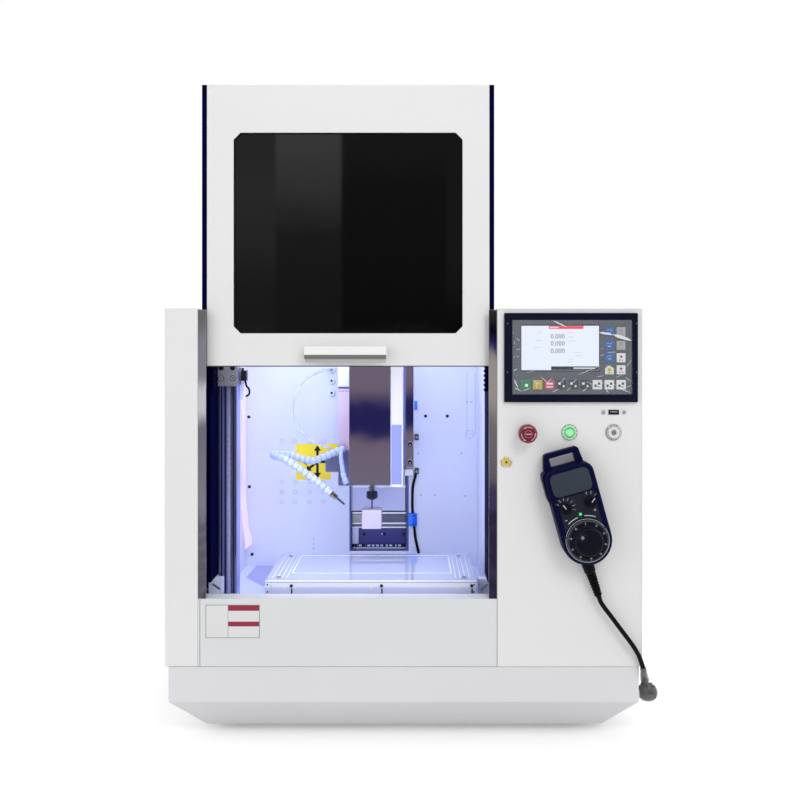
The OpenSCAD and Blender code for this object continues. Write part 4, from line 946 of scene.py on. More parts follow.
def direction_label():
    """The square yellow label with plain arrows for the directions of travel."""
    label = Piece(outward(-159, WALL_Y - 0.05, 354.5))
    label.box("decal_yellow_painted_light", -39, 39, -32.5, 32.5, 0, 0.35, 0.1)
    label.box("liner_paint", 24, 39.2, -33, -20, 0.3, 0.45, 0)
    for degrees, length in ((0, 1.0), (90, 0.95), (-52, 0.9)):
        head = [(2.2, 20 * length), (6.5, 20 * length), (0, 30 * length), (-6.5, 20 * length), (-2.2, 20 * length)]
        label.cut_out("mark_black", [(-x, -y) for x, y in head] + head, 0.3, 0, shift(z=0.35) @ turn(degrees, "Z"))
    label.done("direction_label", "cabinet", "liner_paint")


def loose_films():
    """Protective film still on the left wall, and the films and painted faces of the head's plate."""
    left_wall, steps, low, high = -288.3, 26, 206, 590
    part = bmesh.new()
    rows = []
    for k in range(steps + 1):
        z = low + (high - low) * k / steps
        peel = max(0, 1 - k / 6) ** 1.5
        lift = 0.8 + 0.5 * math.sin(k * 1.7) + 6 * peel
        rows.append((part.verts.new((left_wall + 0.5 + (11 + 3 * math.sin(k * 2.1)) * peel, 303, z)),
                     part.verts.new((left_wall + lift, 262 + 5 * math.sin(k * 0.9), z))))
    for (back, front), (next_back, next_front) in zip(rows, rows[1:]):
        part.faces.new((back, next_back, next_front, front))
    bmesh.ops.solidify(part, geom=part.faces[:], thickness=0.15)
    bmesh.ops.recalc_face_normals(part, faces=part.faces[:])
    film = Piece()
    # the film glows faintly: painted light
    film.take(part, "film_wall_painted_light")
    film.done("wall_film", "cabinet", "liner_paint")
    strip = Piece()
    for material, y0, y1, z0, z1 in (
        ("film_pink", 230.2, 230.8, 385, 491), ("film_purple", 229.9, 230.9, 491.5, 494.5),
        ("film_purple", 230.0, 230.9, 486.6, 487.4), ("cheek_paint", 230.3, 230.9, 495, 555),
    ):
        strip.box(material, -114.4, -88.4, y0, y1, z0, z1, 0.1)
    strip.box("skirt_paint", -98.6, 0.6, 313.2, 313.6, 264.6, 343, 0)
    # a glowing line along the head's lower edge: a painted highlight
    strip.box("frosted_edge_and_highlight", -98, 2, 312.9, 313.2, 307, 309.8, 0)
    strip.done("head_film", "head", "aluminium")


def slot_details():
    """Painted highlights on the column's edges, its foot block in painted shade, and its bolts and hollows, seen
    through the slot in the wall.
    """
    back = Piece()
    y, left, right = 318, -97, 2.4
    for z0, z1, material in (
        # the glowing lines are painted highlights along the column's edges
        (262, 263.5, "mark_black"), (257.8, 260.9, "frosted_edge_and_highlight"), (242.5, 257, "slot_metal"),
        (238.9, 241.7, "frosted_edge_and_highlight"), (234.6, 238.3, "slot_metal"), (232, 234.1, "frosted_edge_and_highlight"),
        (194.2, 196.2, "skirt_paint"), (192.2, 193.4, "slot_lavender"),
    ):
        back.box(material, left, right, y - 0.6, y, z0, z1, 0.2)
    back.box("skirt_paint", left + 0.4, -85, y - 0.7, y, 203, 231.5, 0.2)
    # the column's foot block in painted shade
    back.box("slot_navy_painted_shade", -84, right, y - 0.7, y, 203, 231, 0.2)
    back.box("head_face", left, -78, y - 0.8, y - 0.5, 243, 256.5, 0.2)
    back.studs("mark_black", grid((-74.5, -37.6, -2.4), y - 0.7, (221,)), 3.0, 0.4, 20)
    back.studs("mark_white", [(-41.8, y - 0.8, 221)], 1.2, 0.4, 16)
    pads = grid(range(-94, 1, 8), y - 0.3, (199.7,))
    back.bars("mark_black", pads, (2.4, 0.8, 5.0))
    back.bars("skirt_paint", [(x + 4, y, z) for x, y, z in pads[:-1]], (5.4, 0.8, 3.0))
    back.studs("mark_black", grid((-90, -74.5, -37.6, -20.5, -2.4), y - 0.5, (200.2,)), 2.6, 0.6, 16)
    back.boxes("slot_border", (-101, -97.6, WALL_Y - 0.3, WALL_Y - 0.02, 192, 330, 0),
               (3, 7, WALL_Y - 0.3, WALL_Y - 0.02, 192, 330, 0))
    back.done("slot_fittings", "cabinet", "cast_iron")


# ---------------------------------------------------------------- head, hose and cutter
HOSE_ROUTE = [
    (-104, 224, 389.1), (-132, 205, 379.1), (-158, 195, 372), (-194, 181, 385), (-214, 162, 386),
    (-192, 145, 381), (-170, 147, 366), (-145, 152, 347), (-123, 158, 327),
]
BRANCH_ROUTE = [
    (-107, 219, 388), (-108, 212, 382), (-107, 206, 372), (-104.5, 202, 358), (-101.5, 199, 344), (-97, 197, 333),
]
TUBE_ROUTE = [
    (-126.5, 223, 383.8), (-127.5, 223, 388.5), (-133, 224, 392), (-146, 227, 396), (-166, 232, 405),
    (-185, 240, 425), (-193.5, 250, 458), (-190, 260, 486), (-180, 270, 503), (-162, 279, 515), (-145, 288, 521),
    (-136, 296, 522), (-133.4, 300.5, 522), (-133, 304.4, 522),
]
CABLE_ROUTE = [
    (21, 303.5, 341), (20, 303.5, 335), (19.3, 303.5, 330), (17, 304, 322), (14.8, 304, 311), (13.8, 304, 298),
    (13.8, 304, 270), (16.5, 304, 240), (19.5, 304, 215), (24.5, 304, 192), (29, 304, 167.4),
]


def build_spindle():
    """The cutter, the collet's nut and the nose, and the foam block on the cutter's tip."""
    nose = Piece(shift(-53, 165, 289))
    nose.turned("cutter_steel", [(0, 0), (1.2, 0), (1.4, 0.6), (1.4, 24.2), (0, 24.2)], steps=20)
    nose.turned("blackened_steel", [(0, 24), (5.2, 24), (6.4, 25.2), (8.2, 26), (9, 27), (9, 36), (8.2, 37.3),
                                    (6.8, 38), (0, 38)], steps=36)
    nose.turned("drawn_aluminium", [(0, 38), (6.4, 38.2), (6.4, 44.4), (5.6, 45), (5.6, 54.6), (0, 54.6)], steps=36)
    nose.dial("mark_black", 8, 8.9, 0.2, math.pi / 4, (0.8, 2.0, 7.0), shift(z=31.5))
    nose.done("spindle_nose_finished", "spindle", "tool_steel", ["spindle_nose"])
    softened("tip_guard", "white_foam", 1.6, 3)


def head_panel():
    """The shaded lower part of the box beside the spindle, and its seam."""
    panel = Piece()
    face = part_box("head_box")[0].y / MM - FRONT / MM
    panel.box("head_shade", -20.5, -4, face - 0.25, face + 0.1, 343, 437.8, 0)
    panel.box("head_face", -21, -3.5, face - 0.25, face + 0.1, 438.8, 552, 0)
    panel.box("gap_grey", -20.5, -4, face - 0.3, face, 437.8, 438.6, 0)
    panel.done("head_panel", "head", "cabinet_paint")


def build_lines():
    """The jointed hose with its nozzle, the clear air tube, and the black cable with its clips."""
    hose = Piece()
    hose.beads("hose_link", smooth_route(HOSE_ROUTE, 8), 6.5, 4.0, 27, 10, 18, lean=0.62)
    hose.beads("hose_link", smooth_route(BRANCH_ROUTE, 5), 3.4, 2.8, 6, 8, 18, 1.6, 0.62)
    tip = shift(*HOSE_ROUTE[-1]) @ turn(12, "Z") @ turn(131, "Y")
    hose.turned("hose_link", [(0, -2), (4.6, -2), (5.6, 0), (5.6, 3), (0, 3)], tip, 24)
    hose.turned("nozzle_brass", [(0, 2.5), (5.4, 2.5), (5.4, 6.5), (4.2, 8), (4.2, 14.5), (3.2, 17), (0, 17)],
                tip, 24)
    hose.turned("cutter_steel", [(0, 16.5), (1.7, 16.5), (1.5, 33.6), (0.9, 34), (0, 34)], tip, 16)
    hose.done("jointed_hose", "head", "hose_plastic", ["coolant_hose"])
    tube = Piece()
    tube.beads("clear_tube", smooth_route(TUBE_ROUTE, 6), 2.6, 2.6, 48, 2, 14)
    tube.done("air_tube_finished", "head", "clear_tube", ["air_tube"])
    cable = Piece()
    cable.beads("black_rubber", smooth_route(CABLE_ROUTE, 5), 2.4, 2.4, 45, 2, 12)
    for z in (395, 333):
        cable.box("mark_black", 17.6, 25.2, WALL_Y - 9, WALL_Y, z, z + 10, 1.0)
        cable.box("mark_grey", 19, 23.8, WALL_Y - 9.4, WALL_Y - 8.8, z + 2.5, z + 7.5, 0.3)
    cable.box("connector_blue", 5.5, 22, WALL_Y - 10, WALL_Y, 239, 262, 2.0, 3)
    cable.box("connector_light", 6.3, 13.4, WALL_Y - 10.4, WALL_Y - 9.6, 240, 261, 0.4)
    cable.bars("bezel_navy", grid((13.8,), WALL_Y - 10.1, (243, 258)), (13, 0.8, 0.7))
    cable.done("head_cable_finished", "cabinet", "black_rubber", ["head_cable"])


# ---------------------------------------------------------------- table
def table_details():
    """The clear sheet with its engraved lines, a lighter band at the top of the apron and a darker one at its foot,
    and the screws.
    """
    softened("table_sheet", "clear_acrylic", 0.5)
    edge = Piece()
    x0, x1, y0, y1, top = -206, 108, 40, 196, 216
    left, right, front, rear, groove = -171, 72.5, 78.5, 182.5, 0.9
    # the sheet's edges and engraved lines glow faintly: painted light
    for y in (front, rear):
        edge.box("frosted_edge_and_highlight", left, right, y - groove, y + groove, top - 0.3, top + 0.15, 0.1)
    for x in (left, right):
        edge.box("frosted_edge_and_highlight", x - groove, x + groove, front, rear, top - 0.3, top + 0.15, 0.1)
    for a, b in ((y0 - 0.1, y0 + 0.9), (y1 - 0.9, y1 + 0.1)):
        edge.box("frosted_edge_and_highlight", x0, x1, a, b, 213.6, top, 0.2)
    for side in (-1, 1):
        for k in range(4):
            x = MACHINE_X + side * (127 + 7 * k)
            edge.box("frosted_edge_and_highlight", x - 0.45, x + 0.45, y0 + 14, y1 - 12, top - 0.3, top + 0.1, 0.1)
    bolts = (-167, -33, 101)
    edge.studs("mark_black", grid(bolts, y0 - 0.4, (208,)), 2.4, 1.2, smooth=True)
    edge.bars("mark_black", moved(grid(bolts, y0 - 0.1, (199.4,)), 0.6), (2.2, 0.5, 8.6))
    edge.studs("mark_white", grid((-177, -49, 80), y0 - 0.3, (204,)), 2.6, 0.9, smooth=True)
    edge.studs("mark_black", grid((-202.5, 104.5), y0 - 0.1, (209.5, 199)), 1.3, 0.5, 16)
    edge.box("apron_light", x0 + 0.3, x1 - 0.3, y0 - 0.12, y0 + 0.3, 205.5, 212.2, 0)
    edge.box("apron_dark", x0 + 0.3, x1 - 0.3, y0 - 0.12, y0 + 0.3, 190.4, 196.5, 0)
    for a, b in ((-197.4, -196.6), (98.8, 99.6)):
        edge.box("wall_line", a, b, y0 - 0.15, y0, 190.5, 212, 0)
    corners = [(x, y, top + 0.4) for x in (-188, 90) for y in (56, 178)]
    edge.studs("ground_steel", corners, 3.8, 1.0, smooth=True, facing=FLAT)
    edge.studs("mark_black", moved(corners, dz=0.4), 1.7, 0.5, 6, facing=FLAT)
    edge.done("table_fittings", "table", "liner_paint")


# ---------------------------------------------------------------- control column
KEY_X0, KEY_X1, KEY_Z0, KEY_Z1 = 155.4, 327.6, 494.6, 601.4      # the keypad's ground
# painted highlights: flat white streaks on the keypad film that stand for its glints
PAINTED_GLINTS = (                   # from x, z to x, z, and how wide
    (278.5, 583.5, 300, 580, 3.2), (298, 580.5, 326, 571.8, 5.0), (213, 600.3, 234, 590.5, 2.0),
    (170, 500, 181, 504, 0.8), (186, 515.5, 192, 509, 0.7), (212, 498, 222, 503, 0.8), (240, 511, 248, 517, 0.7),
    (262, 514, 270, 508, 0.7), (281, 508, 287, 513, 0.6), (297, 511, 304, 507, 0.6), (303, 519, 312, 523, 0.6),
    (318, 505, 325, 508, 0.7), (157.5, 517, 164, 503, 1.6), (158, 505, 169, 499, 1.2), (249, 523, 271, 531.5, 0.7),
    (271, 531, 282, 537, 0.5), (275, 519.5, 286, 522, 0.6), (196, 520, 205, 512, 0.8), (205, 511, 212, 519, 0.6),
    (224, 512, 231, 519, 0.6), (233, 500, 240, 506, 0.6), (255, 499, 262, 504, 0.9), (288, 503, 293, 497, 1.0),
    (309, 503, 324, 497.5, 1.0), (316, 520, 325, 513, 0.7), (174, 525, 190, 530, 0.4), (156.5, 528, 163, 532, 1.0),
    (157, 548, 158.8, 548.5, 1.2), (161.5, 548.5, 165, 549.2, 0.9), (161, 558.5, 167, 560, 0.7),
    (161, 575, 166, 571, 0.8), (158, 566, 159, 571, 0.6), (156.5, 584, 157.5, 582, 0.8),
    (281, 550.5, 286, 551.5, 0.7), (283, 560, 284.6, 560.6, 0.9), (289, 554.5, 304, 555.5, 0.6),
    (288, 538, 296, 530, 0.5), (305, 545, 307, 541, 0.6), (318, 534, 326, 545, 0.6),
)


def crumpled_film():
    """The loose protective film over the keypad, with white streaks on it as painted highlights for its glints."""
    part = bmesh.new()
    columns, rows = 96, 60
    x0, x1, z0, z1 = 156.2, 327.0, 495.4, 600.6
    net = []
    for j in range(rows + 1):
        line = []
        for i in range(columns + 1):
            u, v = i / columns, j / rows
            edge = min(u, 1 - u, v, 1 - v)
            ripple = (math.sin(31 * u + 9 * math.sin(7 * v)) * math.sin(23 * v + 6 * math.sin(9 * u))
                      + 0.6 * math.sin(67 * u * (1 - 0.4 * v) + 19 * v) * math.sin(41 * v - 13 * u))
            calm = 0.25 if 0.10 < u < 0.70 and 0.36 < v < 0.95 else 1.0
            lift = 1.0 + 0.55 * calm * ripple * min(1, edge * 12)
            line.append(part.verts.new((x0 + (x1 - x0) * u, -5.2 - 0.8 * max(0.15, lift), z0 + (z1 - z0) * v)))
        net.append(line)
    for low, high in zip(net, net[1:]):
        for i in range(columns):
            part.faces.new((low[i], low[i + 1], high[i + 1], high[i]))
    film = Piece()
    film.take(part, "creased_film")
    film.done("keypad_film", "cabinet", "screen_glass")
    painted_glints = Piece()
    for xa, za, xb, zb, width in PAINTED_GLINTS:
        length = math.hypot(xb - xa, zb - za)
        shape = [(0, 0), (length * 0.3, -width / 2), (length * 0.8, -width * 0.35), (length, 0),
                 (length * 0.7, width * 0.45), (length * 0.25, width / 2)]
        painted_glints.cut_out("mark_white", shape, 0.12, 0, outward(xa, -6.9, za)
                        @ turn(math.degrees(math.atan2(zb - za, xb - xa)), "Z"))
    painted_glints.done("film_painted_highlights", "cabinet", "screen_glass")


def key(piece, material, x, z, w, h, mark, gabled=False):
    """A key whose mark is a few plain bars: offset across and up, width, height and ink."""
    if gabled:
        outline = [(-w / 2, -h / 2), (w / 2, -h / 2), (w / 2, h * 0.18), (0, h / 2), (-w / 2, h * 0.18)]
        piece.cut_out(material, outline, 0.5, 0.15, outward(x, -4.3, z))
    else:
        piece.box(material, x - w / 2, x + w / 2, -4.85, -4.1, z - h / 2, z + h / 2, 0.25)
    for dx, dz, mw, mh, ink in mark:
        piece.box(ink, x + dx - mw / 2, x + dx + mw / 2, -5.0, -4.7, z + dz - mh / 2, z + dz + mh / 2, 0)


def controller_face():
    """The keypad's ground and its keys."""
    face = Piece()
    for x0, x1, z0, z1 in ((KEY_X0, KEY_X1, KEY_Z0, 527.6), (KEY_X0, KEY_X1, 594.6, KEY_Z1),
                           (KEY_X0, 167.6, 527.6, 594.6), (280.8, KEY_X1, 527.6, 594.6)):
        face.box("keypad_grey", x0, x1, -4.35, -4.2, z0, z1, 0)
    dots = ((-2, 2.4, 1.3, 1.0, "mark_white"), (2, 2.4, 1.3, 1.0, "mark_white"), (0, -1.6, 4.6, 0.8, "mark_white"))
    home = ((0, 0.4, 4.6, 4.6, "key_yellow"), (0, -4, 2, 1.4, "mark_black"))
    arrow = ((0, 1.6, 1.5, 4.4, "plate_red"), (0, 1.6, 4.6, 1.5, "plate_red"), (-1.8, -3.4, 1.6, 1.5, "mark_black"),
             (1.8, -3.4, 1.6, 1.5, "mark_black"))
    rose = ((0, 2.0, 3.2, 2.8, "gap_grey"), (-1.8, -3.2, 1.4, 1.4, "gap_grey"), (1.8, -3.2, 1.4, 1.4, "gap_grey"))
    slate = ((-3, 1.6, 3.6, 3.4, "mark_white"), (3, -2.2, 2.6, 3.2, "mark_white"), (1.2, 3.6, 2.2, 1.4, "mark_grey"))
    white = ((-2.6, -1.5, 3.0, 3.6, "key_slate"), (2.4, 1.6, 3.0, 3.4, "key_slate"), (1.6, -3, 2.2, 1.6, "key_slate"))
    levels = (584.4, 565.0, 547.2, 530.0)
    for z in levels[:3]:
        key(face, "key_blue", 294.4, z, 13.5, 13, dots)
    key(face, "key_cream", 294.4, levels[3], 12.5, 13, home, True)
    for z, material, mark in zip(levels, ("key_grey", "key_grey", "key_white", "key_white"),
                                 (rose, rose, arrow, arrow)):
        key(face, material, 311.1, z, 12.5, 13, mark)
    for k, (material, mark) in enumerate((
        ("key_green", ((1, -1, 4, 4, "lens_pale"),)),
        ("key_yellow", ((0, 2.5, 8, 0.8, "key_cream"), (-2, -1, 1.2, 6, "key_cream"))),
        ("key_pink", ((0, 1.5, 9, 2.6, "mark_white"), (0, -3, 9, 2.0, "mark_white"))),
        *[("key_slate", slate)] * 3, *[("key_white", white)] * 3,
    )):
        key(face, material, 174.8 + 17.06 * k, 508.7, 13.4, 13.4, mark)
    for z in (526.5, 596):
        face.studs("mark_grey", grid((148.6, 333.4), -5.05, (z,)), 0.8, 0.3, 12)
    face.done("keypad_face", "cabinet", "case_black")


def screen_image():
    """A generic read-out: three axis values, a red bar and faint rows."""
    image = Piece()
    front = -4.06
    x0, x1, z0, z1 = 168.7, 279.7, 529.4, 593.0
    for material, a, b, lift, c, d in (
        ("screen_red", 208, 257.5, 0.06, z1 - 4.6, z1 - 0.2),
        ("screen_dark", x0 + 42.5, x1 - 0.4, 0.06, z0 + 0.3, z0 + 5.4),
        ("mark_white", x0 + 74.5, x1 - 6, 0.1, z0 + 1.9, z0 + 3.9),
        ("plate_white", 209.5, 222, 0.1, z1 - 3.3, z1 - 1.6),
    ):
        image.box(material, a, b, front - lift, front, c, d, 0)
    for z in (577.6, 567.4, 556.8):
        image.words("screen_text", "0.000", 9.2, outward(220.6, front - 0.02, z))
    for x, z, w in ((194, 583, 5), (194, 572, 8), (194, 561.5, 12), (239.5, 583.5, 9), (239.5, 577, 8),
                    (241, 571, 10), (239, 545, 8), (238.5, 541, 7), (248, 555, 13), (251, 550, 10),
                    (174, 580, 1.2), (176, 577, 1.2), (174, 568, 1.2), (177, 566, 1.2)):
        image.box("screen_faint", x - w / 2, x + w / 2, front - 0.05, front, z - 0.35, z + 0.35, 0)
    image.done("screen_image", "cabinet", "screen_glass")


def usb_details():
    """The opening and tongue of the port, and the screws on each side of it."""
    port = Piece()
    port.box("mark_black", 294.2, 309.0, -0.95, -0.75, 465.7, 472.3, 0)
    port.box("mark_grey", 296.6, 306.8, 8.6, 9.2, 467.2, 470.8, 0)
    port.box("mark_white", 296.8, 306.6, -1.05, -0.9, 469.2, 469.9, 0)
    for x in (301.6 - 14.8, 301.6 + 14.8):
        port.turned("gap_grey", [(0, 0), (1.8, 0), (1.6, 0.4), (0, 0.5)], outward(x, -1.2, 469), 6)
        port.dial("mark_grey", 10, 3.1, 0.0, math.pi / 5, (0.7, 0.8, 0.4), outward(x, -0.75, 469))
    port.done("port_face", "cabinet", "chrome_ring")


BUTTON_Z = 440
STOP_X, START_X, RESET_X = ((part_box(node)[0].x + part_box(node)[1].x) / 2 / MM
                            for node in ("estop_button", "green_button", "white_button"))
LIGHT_X, LIGHT_Z = 147.3, 397.5


def estop():
    """The red mushroom head with three turning arrows."""
    place = outward(STOP_X, 6, BUTTON_Z)
    stop = Piece()
    stop.turned("mark_grey", drum(5.9, 0, 15.5), place, 36)
    stop.turned("stop_red", [(0, 14.8), (6.2, 15), (12, 17), (13, 18.6), (13.55, 21), (13.5, 26), (13.0, 28),
                             (12, 29.6), (9, 30.9), (5, 31.7), (0, 32)], place, 64)
    cap = place @ shift(z=0.1)
    for first in (90, 210, 330):
        stop.arc_band("stop_mark", cap, 9.6, 1.0, first - 34, first + 22, 30.55, 0.3)
        stop.cut_out("stop_mark", [(-1.8, 0), (1.8, 0), (0, 3.2)], 0.3, 0,
                     cap @ turn(first + 22, "Z") @ shift(9.6, 0, 30.55))
    stop.band("stop_mark", cap, 5.4, 4.9, 31.3, 0.3)
    stop.box("stop_mark", -3.8, 3.8, -0.75, 0.75, 31.6, 31.95, 0.1, 2, cap)
    stop.done("stop_button", "estop", "button_red", ["estop_button"])


def lit_button():
    """The green lens, the bright marks on the three large collars, and dark arcs on the white button's collar, partly
    painted shade.
    """
    place = outward(START_X, 4.5, BUTTON_Z)
    cap = Piece()
    cap.turned("lens_green", [(0, 0), (7.8, 0), (7.8, 7.0), (7.2, 7.7), (0, 7.7)], place, 56)
    cap.band("lens_edge", place, 7.1, 6.6, 7.6)
    cap.band("lens_pale", place, 4.6, 3.5, 7.65)
    for first in (20, 200):
        cap.arc_band("lens_edge", place, 5.4, 0.7, first, first + 120, 7.62)
    cap.turned("lens_pale", [(0, 7.6), (2.0, 7.6), (1.8, 7.95), (0, 8.0)], place, 24)
    cap.done("green_lens", "start_button", "button_green", ["green_button"])
    collar = Piece()
    collar.band("lens_pale", outward(START_X, -1.85, BUTTON_Z), 9.9, 8.9, 0)
    collar.dial("lens_edge", 12, 10.35, 0.15, math.pi / 6, (0.9, 2.6, 0.3), outward(START_X, -2.0, BUTTON_Z))
    for x in (STOP_X, START_X, RESET_X):
        collar.band("mark_grey", outward(x, -0.1, BUTTON_Z), 11.6, 11.0, 0)
        collar.dial("mark_grey", 3, 10.3, math.pi / 2 - 0.35, 0.35, (1.1, 0.5, 0.3), outward(x, -2.0, BUTTON_Z))
    # dark arcs on the white button's collar: the two long ones on its left and lower side are painted shade, and three
    # short ones sit at its top
    for radius, first, last in ((10.6, 140, 215), (10.6, 225, 300), (10.7, 60, 76), (10.7, 84, 96), (10.7, 104, 120)):
        collar.arc_band("gap_grey", outward(RESET_X, -1.9, BUTTON_Z), radius, 0.9, first, last, 0)
    collar.done("button_collars", "cabinet", "chrome_ring")


def white_and_yellow():
    """The white button's dished cap, and the small yellow button with its rim."""
    place = outward(RESET_X, 4.5, BUTTON_Z)
    cap = Piece()
    cap.turned("button_white", [(0, 0), (7.8, 0), (7.8, 7.0), (7.2, 7.7), (5.3, 7.7), (5.1, 7.2), (0, 7.2)], place, 56)
    cap.band("gap_grey", place, 5.15, 4.6, 7.15, 0.1)
    cap.turned("button_dome", [(0, 7.15), (3.7, 7.15), (3.5, 7.6), (2.4, 8.0), (0, 8.1)], place, 40)
    cap.done("white_cap", "reset_button", "button_white", ["white_button"])
    place = outward(LIGHT_X, 4.5, LIGHT_Z)
    small = Piece()
    small.turned("button_yellow", [(0, 0), (3.5, 0), (3.5, 6.6), (3.1, 7.1), (0, 7.1)], place, 40)
    small.turned("button_brown", [(0, 7.05), (1.9, 7.05), (1.7, 7.35), (0, 7.4)], place, 24)
    small.done("yellow_cap", "light_button", "button_yellow", ["yellow_button"])
    place = outward(LIGHT_X, -1.9, LIGHT_Z)
    rim = Piece()
    rim.band("button_yellow", place, 6.6, 4.6, 0)
    for first, last in ((-60, 20), (150, 235), (55, 75), (100, 125)):
        rim.arc_band("button_brown", place, 6.9, 0.7, first, last, 0)
    rim.dial("nozzle_brass", 10, 6.3, 0.1, math.pi / 5, (0.6, 1.0, 0.3), outward(LIGHT_X, -2.0, LIGHT_Z))
    rim.done("yellow_rim", "cabinet", "chrome_ring")


# ---------------------------------------------------------------- hand-wheel pendant
PENDANT = shift(257.5, 0, 292) @ turn(-15.5, "Y") @ OUT
FACE = 31.0
KNOB_V = 52


def pendant_cover():
    """The rounded front half of the case, and the swelling around the button on its side."""
    cover = Piece(PENDANT)
    outline = arc(35.2, range(180, 361, 4))
    outline += arc(14.2, range(0, 91, 9), 21, 93) + arc(14.2, range(90, 181, 9), -21, 93)
    cover.cut_out("pendant_shell", outline, 9.45, 3.6, shift(z=21.6))
    side = [(-33.5, 57), (-35.4, 60), (-36.8, 65), (-37.4, 71), (-37.5, 97), (-36.6, 101), (-34.6, 104), (-31, 106)]
    low = side[:4] + [(-37.45, 73.4), (-33.5, 73.4)]
    high = [(-33.5, 94.4), (-37.48, 94.4)] + side[4:]
    for shape, w0, w1 in ((side, 6, 11.6), (side, 21.4, 25), (low, 11.5, 21.5), (high, 11.5, 21.5)):
        cover.cut_out("pendant_shell", shape[::-1], w1 - w0, 0, shift(z=w0))
    cover.done("pendant_cover", "cabinet", "pendant_black", sharp=50)


def pendant_face():
    """The two plain label plates, their scale marks, the lamp and the screws."""
    face = Piece(PENDANT)
    on, marks, lamp = shift(z=FACE - 0.05), shift(z=FACE + 0.38), shift(0, 38.5, FACE + 0.2)
    rounded = [point for cu, cv, start in ((19.5, 93, 0), (-20.5, 93, 90), (-20.5, 76.4, 180), (19.5, 76.4, 270))
               for point in arc(8, range(start, start + 91, 15), cu, cv)]
    face.cut_out("pendant_label", rounded, 0.45, 0.15, on)
    lower = [(26.5, 66), (26.5, 17), *arc(31.5, range(35, 146, 5)), (-26.5, 17), (-26.5, 66)]
    face.cut_out("pendant_lower_label", lower, 0.35, 0, on)
    for first, last in ((98, 124), (82, 56)):
        face.arc_band("mark_white", marks, 35.2, 0.9, first, last, 0, 0.15)
    for u0, u1, v0, v1 in ((19.6, 23.0, 38.6, 39.2), (-23.0, -19.6, 34.6, 35.2), (21.0, 21.6, 37.2, 40.6)):
        face.box("mark_white", u0, u1, v0, v1, 0, 0.15, 0, 2, marks)
    face.turned("lamp_green", [(0, 0), (1.9, 0), (1.7, 1.1), (1.0, 1.7), (0, 1.9)], lamp, 24)
    face.turned("lens_edge", [(0, 0), (2.7, 0), (2.5, 0.5), (1.9, 0.6), (0, 0.6)], lamp, 24)
    for u, count, first, step, outer, length in ((-18, 7, -24, 27.7, 14.2, 1.5), (18, 3, 40, 30, 14.0, 2.6)):
        for material, radius, size in (("mark_white", 11.6, (2.2, 0.45, 0.15)),
                                       ("mark_grey", outer, (1.1, length, 0.12))):
            face.dial(material, count, radius, math.radians(first), math.radians(step), size,
                      shift(u, KNOB_V, FACE + 0.38))
    face.arc_band("mark_white", HERE, 30.4, 0.5, 0, 359.9, FACE + 0.1, 0.3, 72)
    screws = [(u, v, FACE + 0.2) for u in (-29, 29) for v in (12, 62)]
    face.studs("mark_black", screws, 1.6, 0.5, 16, facing=FLAT)
    face.done("pendant_face", "cabinet", "pendant_black")


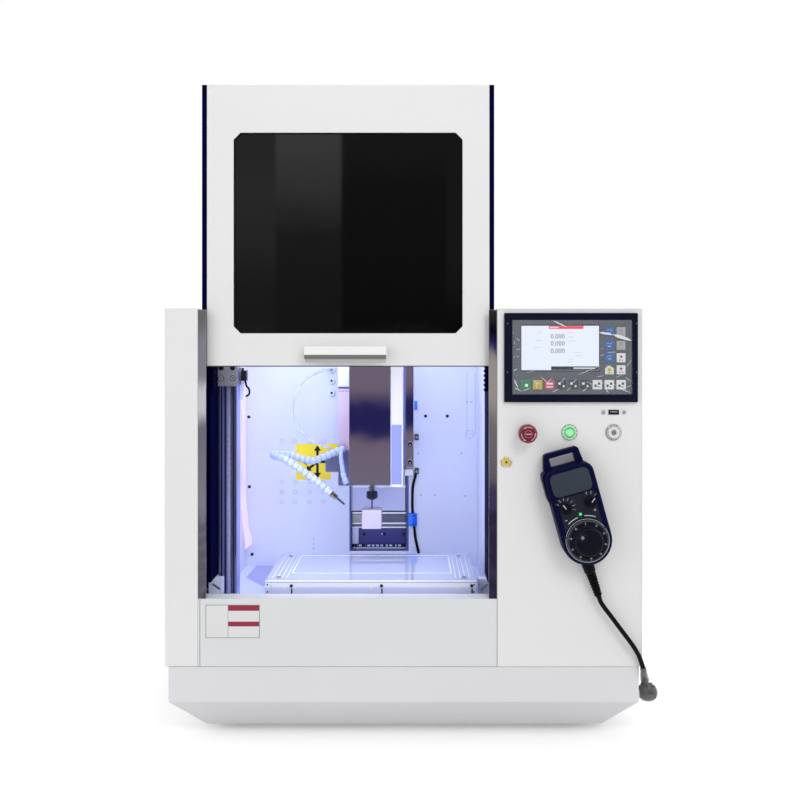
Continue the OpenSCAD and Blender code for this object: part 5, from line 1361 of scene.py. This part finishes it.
def pendant_controls():
    """The two selector knobs with their pointers, and the hand-wheel with its scale."""
    for body, u, lean, name, node in (("axis_knob", -18, 25, "axis_selector", "pendant_axis_knob"),
                                      ("step_knob", 18, -50, "step_selector", "pendant_step_knob")):
        knob = Piece(PENDANT @ shift(u, KNOB_V, FACE + 0.3))
        knob.turned("wheel_black", [(0, 0), (8.5, 0), (8.5, 1.8), (7.6, 2.4), (7.3, 6.2), (6.7, 7), (0, 7)], steps=40)
        knob.dial("wheel_black", 20, 7.5, 0.0, math.tau / 20, (0.8, 0.9, 3.6), shift(z=4.2))
        knob.box("wheel_black", -1.6, 1.6, -7.8, 7.9, 6.6, 10, 0.7, 3, turn(lean, "Z"))
        knob.box("mark_white", -0.5, 0.5, 0.6, 7.7, 9.75, 10.1, 0.1, 2, turn(lean, "Z"))
        knob.done(name, body, "pendant_black", [node])
    wheel = Piece(PENDANT @ shift(z=FACE + 0.3))
    wheel.turned("wheel_black", [(0, 0), (29.2, 0), (29.5, 0.6), (29.4, 2.6), (28.2, 4.1), (27, 4.5), (21.6, 4.6),
                                 (20.4, 5.6), (19.4, 10.9), (18.2, 12.2), (16.5, 12.5), (0, 11.6)], steps=96)
    wheel.dial("mark_grey", 100, 26.9, math.pi / 2, math.tau / 100, (1.1, 0.22, 0.2), shift(z=4.5))
    wheel.dial("mark_grey", 10, 26.6, math.pi / 2 - 0.105, math.tau / 10, (2.6, 0.5, 0.24), shift(z=4.5))
    for k in range(10):
        wheel.words("mark_white", str(10 * k), 2.8, turn(-6 - 36 * k, "Z") @ shift(0, 24.0, 4.62))
    wheel.arc_band("mark_grey", HERE, 28.6, 0.5, 0, 359.9, 3.55, 0.3, 96)
    wheel.dial("wheel_black", 40, 19.6, 0.0, math.tau / 40, (0.9, 1.4, 4.6), shift(z=8.2))
    dimple = shift(-7.5, 9)
    wheel.turned("wheel_black", [(0, 11.4), (6.4, 11.6), (6.2, 12.9), (5.4, 13.6), (4.6, 13.2), (3.0, 12.4),
                                 (0, 12.1)], dimple, 40)
    wheel.turned("gap_grey", [(0, 12.1), (2.6, 12.2), (2.2, 12.45), (0, 12.5)], dimple, 24)
    wheel.done("hand_wheel", "pendant_wheel", "pendant_black", ["pendant_wheel"])


def strain_relief():
    """The gland and the ribbed sleeve where the lead leaves the pendant."""
    relief = Piece(PENDANT @ shift(-6, -36, 10) @ turn(3.5, "Z") @ OUT)
    relief.turned("black_rubber", [(0, 0.6), (8.4, 0.6), (8.6, 1.4), (8.2, 8), (7.9, 13), (7.0, 14.8), (5, 16),
                                   (0, 16)], steps=36)
    profile = [(0, 15.5), (4.6, 15.5)]
    for k in range(8):
        low, r = 16.9 + 4.2 * k, 6.95 - 0.2 * k
        profile += [(r - 2.0, low), (r - 0.2, low + 0.3), (r, low + 0.9), (r, low + 1.8), (r - 0.2, low + 2.3),
                    (r - 2.0, low + 2.6)]
    relief.turned("black_rubber", [*profile, (4.0, 50.6), (3.6, 52.3), (0, 52.3)], steps=36)
    relief.done("strain_relief", "cabinet", "black_rubber", ["pendant_relief"])


for build in (door_trim, rear_details, blank_plate, panel_seams, build_screws, lift_details, wall_details,
              direction_label, loose_films, build_spindle, head_panel, build_lines, table_details, controller_face,
              screen_image, crumpled_film, usb_details, estop, lit_button, white_and_yellow, pendant_cover,
              pendant_face, pendant_controls, strain_relief, slot_details):
    build()

bpy.context.scene.view_settings.view_transform = "Standard"
